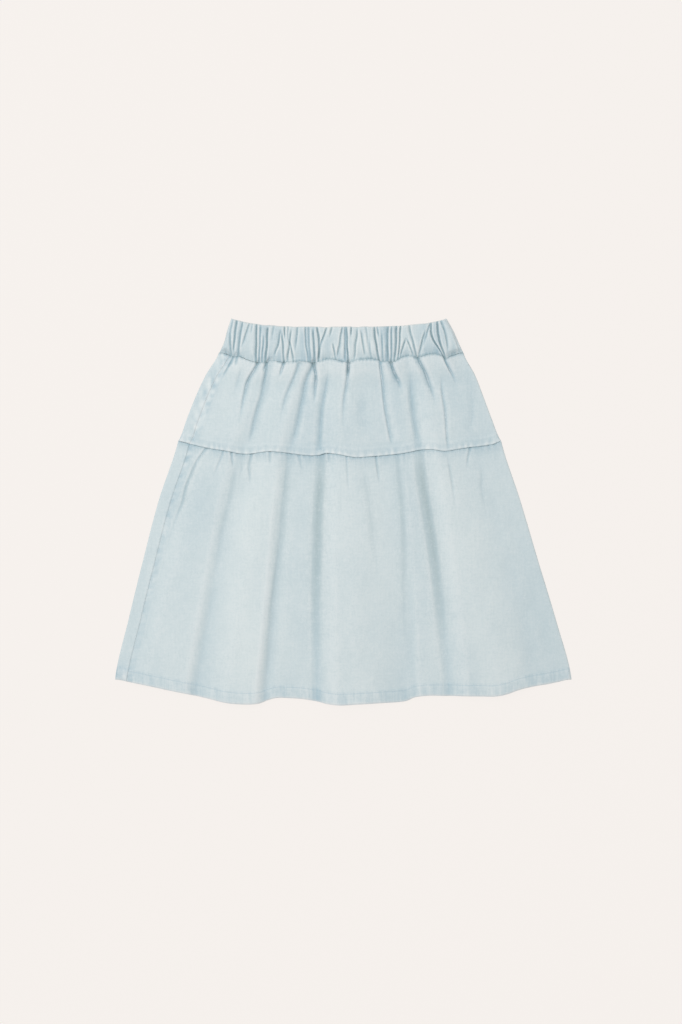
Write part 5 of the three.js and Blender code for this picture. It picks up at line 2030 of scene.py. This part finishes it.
@dataclass
class Skirt:
    """The six pieces of cloth and the hem's stitching.

    Attributes:
        layout: Where the garment's edges and seams lie.
        relief: Its folds, creases and gathers.
    """

    layout: Layout = field(default_factory=Layout)
    relief: Relief = field(init=False)

    def __post_init__(self) -> None:
        """Works out the folds for the layout."""
        self.relief = Relief(self.layout)

    def panels(self) -> list[Panel]:
        """Plans the four panels of the tiers.

        Returns:
            The panels, front ones first.
        """
        shape = {"layout": self.layout, "relief": self.relief}
        return [
            Panel("upper_cloth_front", Face.FRONT, Tier.UPPER, 88, 380, cut=(0.385, 0.118), **shape),
            Panel("lower_cloth_front", Face.FRONT, Tier.LOWER, 172, 430, cut=(0.57, 0.312), **shape),
            Panel("upper_cloth_back", Face.BACK, Tier.UPPER, 52, 240, cut=(0.385, 0.118), **shape),
            Panel("lower_cloth_back", Face.BACK, Tier.LOWER, 100, 280, cut=(0.57, 0.312), **shape),
        ]

    def bands(self) -> list[Waistband]:
        """Plans the two halves of the waistband.

        Returns:
            The halves, front one first.
        """
        return [
            Waistband("band_cloth_front", Face.FRONT, self.layout, self.relief, 70, 640, cut=(0.36, 0.044)),
            Waistband("band_cloth_back", Face.BACK, self.layout, self.relief, 46, 400, cut=(0.36, 0.044)),
        ]

    def build(self) -> list[bpy.types.Object]:
        """Makes and dresses every piece.

        Returns:
            The pieces.
        """
        denim = DenimFinish("washed_denim").material()
        band_denim = DenimFinish("washed_denim_band", mottle=0.16).material()
        reverse = DenimFinish("denim_reverse", pale=(0.72, 0.77, 0.78, 1.0), blue=(0.52, 0.6, 0.66, 1.0)).material()
        thread = ThreadFinish("hem_thread").material()
        made: list[bpy.types.Object] = []
        for band in self.bands():
            piece = self.dress(band.build([band_denim]), f"waistband_{band.face.value}", "denim_band")
            made.append(piece)
        for panel in self.panels():
            tier = panel.tier.name.lower()
            piece = self.dress(panel.build([denim, reverse]), f"{tier}_tier_{panel.face.value}", "denim")
            extra = []
            if panel.ends_at_hem:
                stitches = HemStitching(f"hem_stitches_{panel.face.value}", panel).build(thread)
                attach(stitches, BODY)
                extra.append(stitches)
            made += [piece, *extra]
        return made

    @staticmethod
    def dress(piece: bpy.types.Object, node: str, slot: str) -> bpy.types.Object:
        """Puts a piece of cloth in its solid's place.

        Args:
            piece: The cloth.
            node: The solid that it stands for.
            slot: Not used.

        Returns:
            The cloth.
        """
        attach(piece, BODY)
        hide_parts(node)
        return piece


def main() -> None:
    """Builds the studio and the skirt, and reports each piece."""
    logging.basicConfig(level=logging.INFO, format="%(message)s")
    Studio().build()
    for piece in Skirt().build():
        LOG.info("%s: %d faces", piece.name, len(piece.data.polygons))


if __name__ == "__main__":
    main()
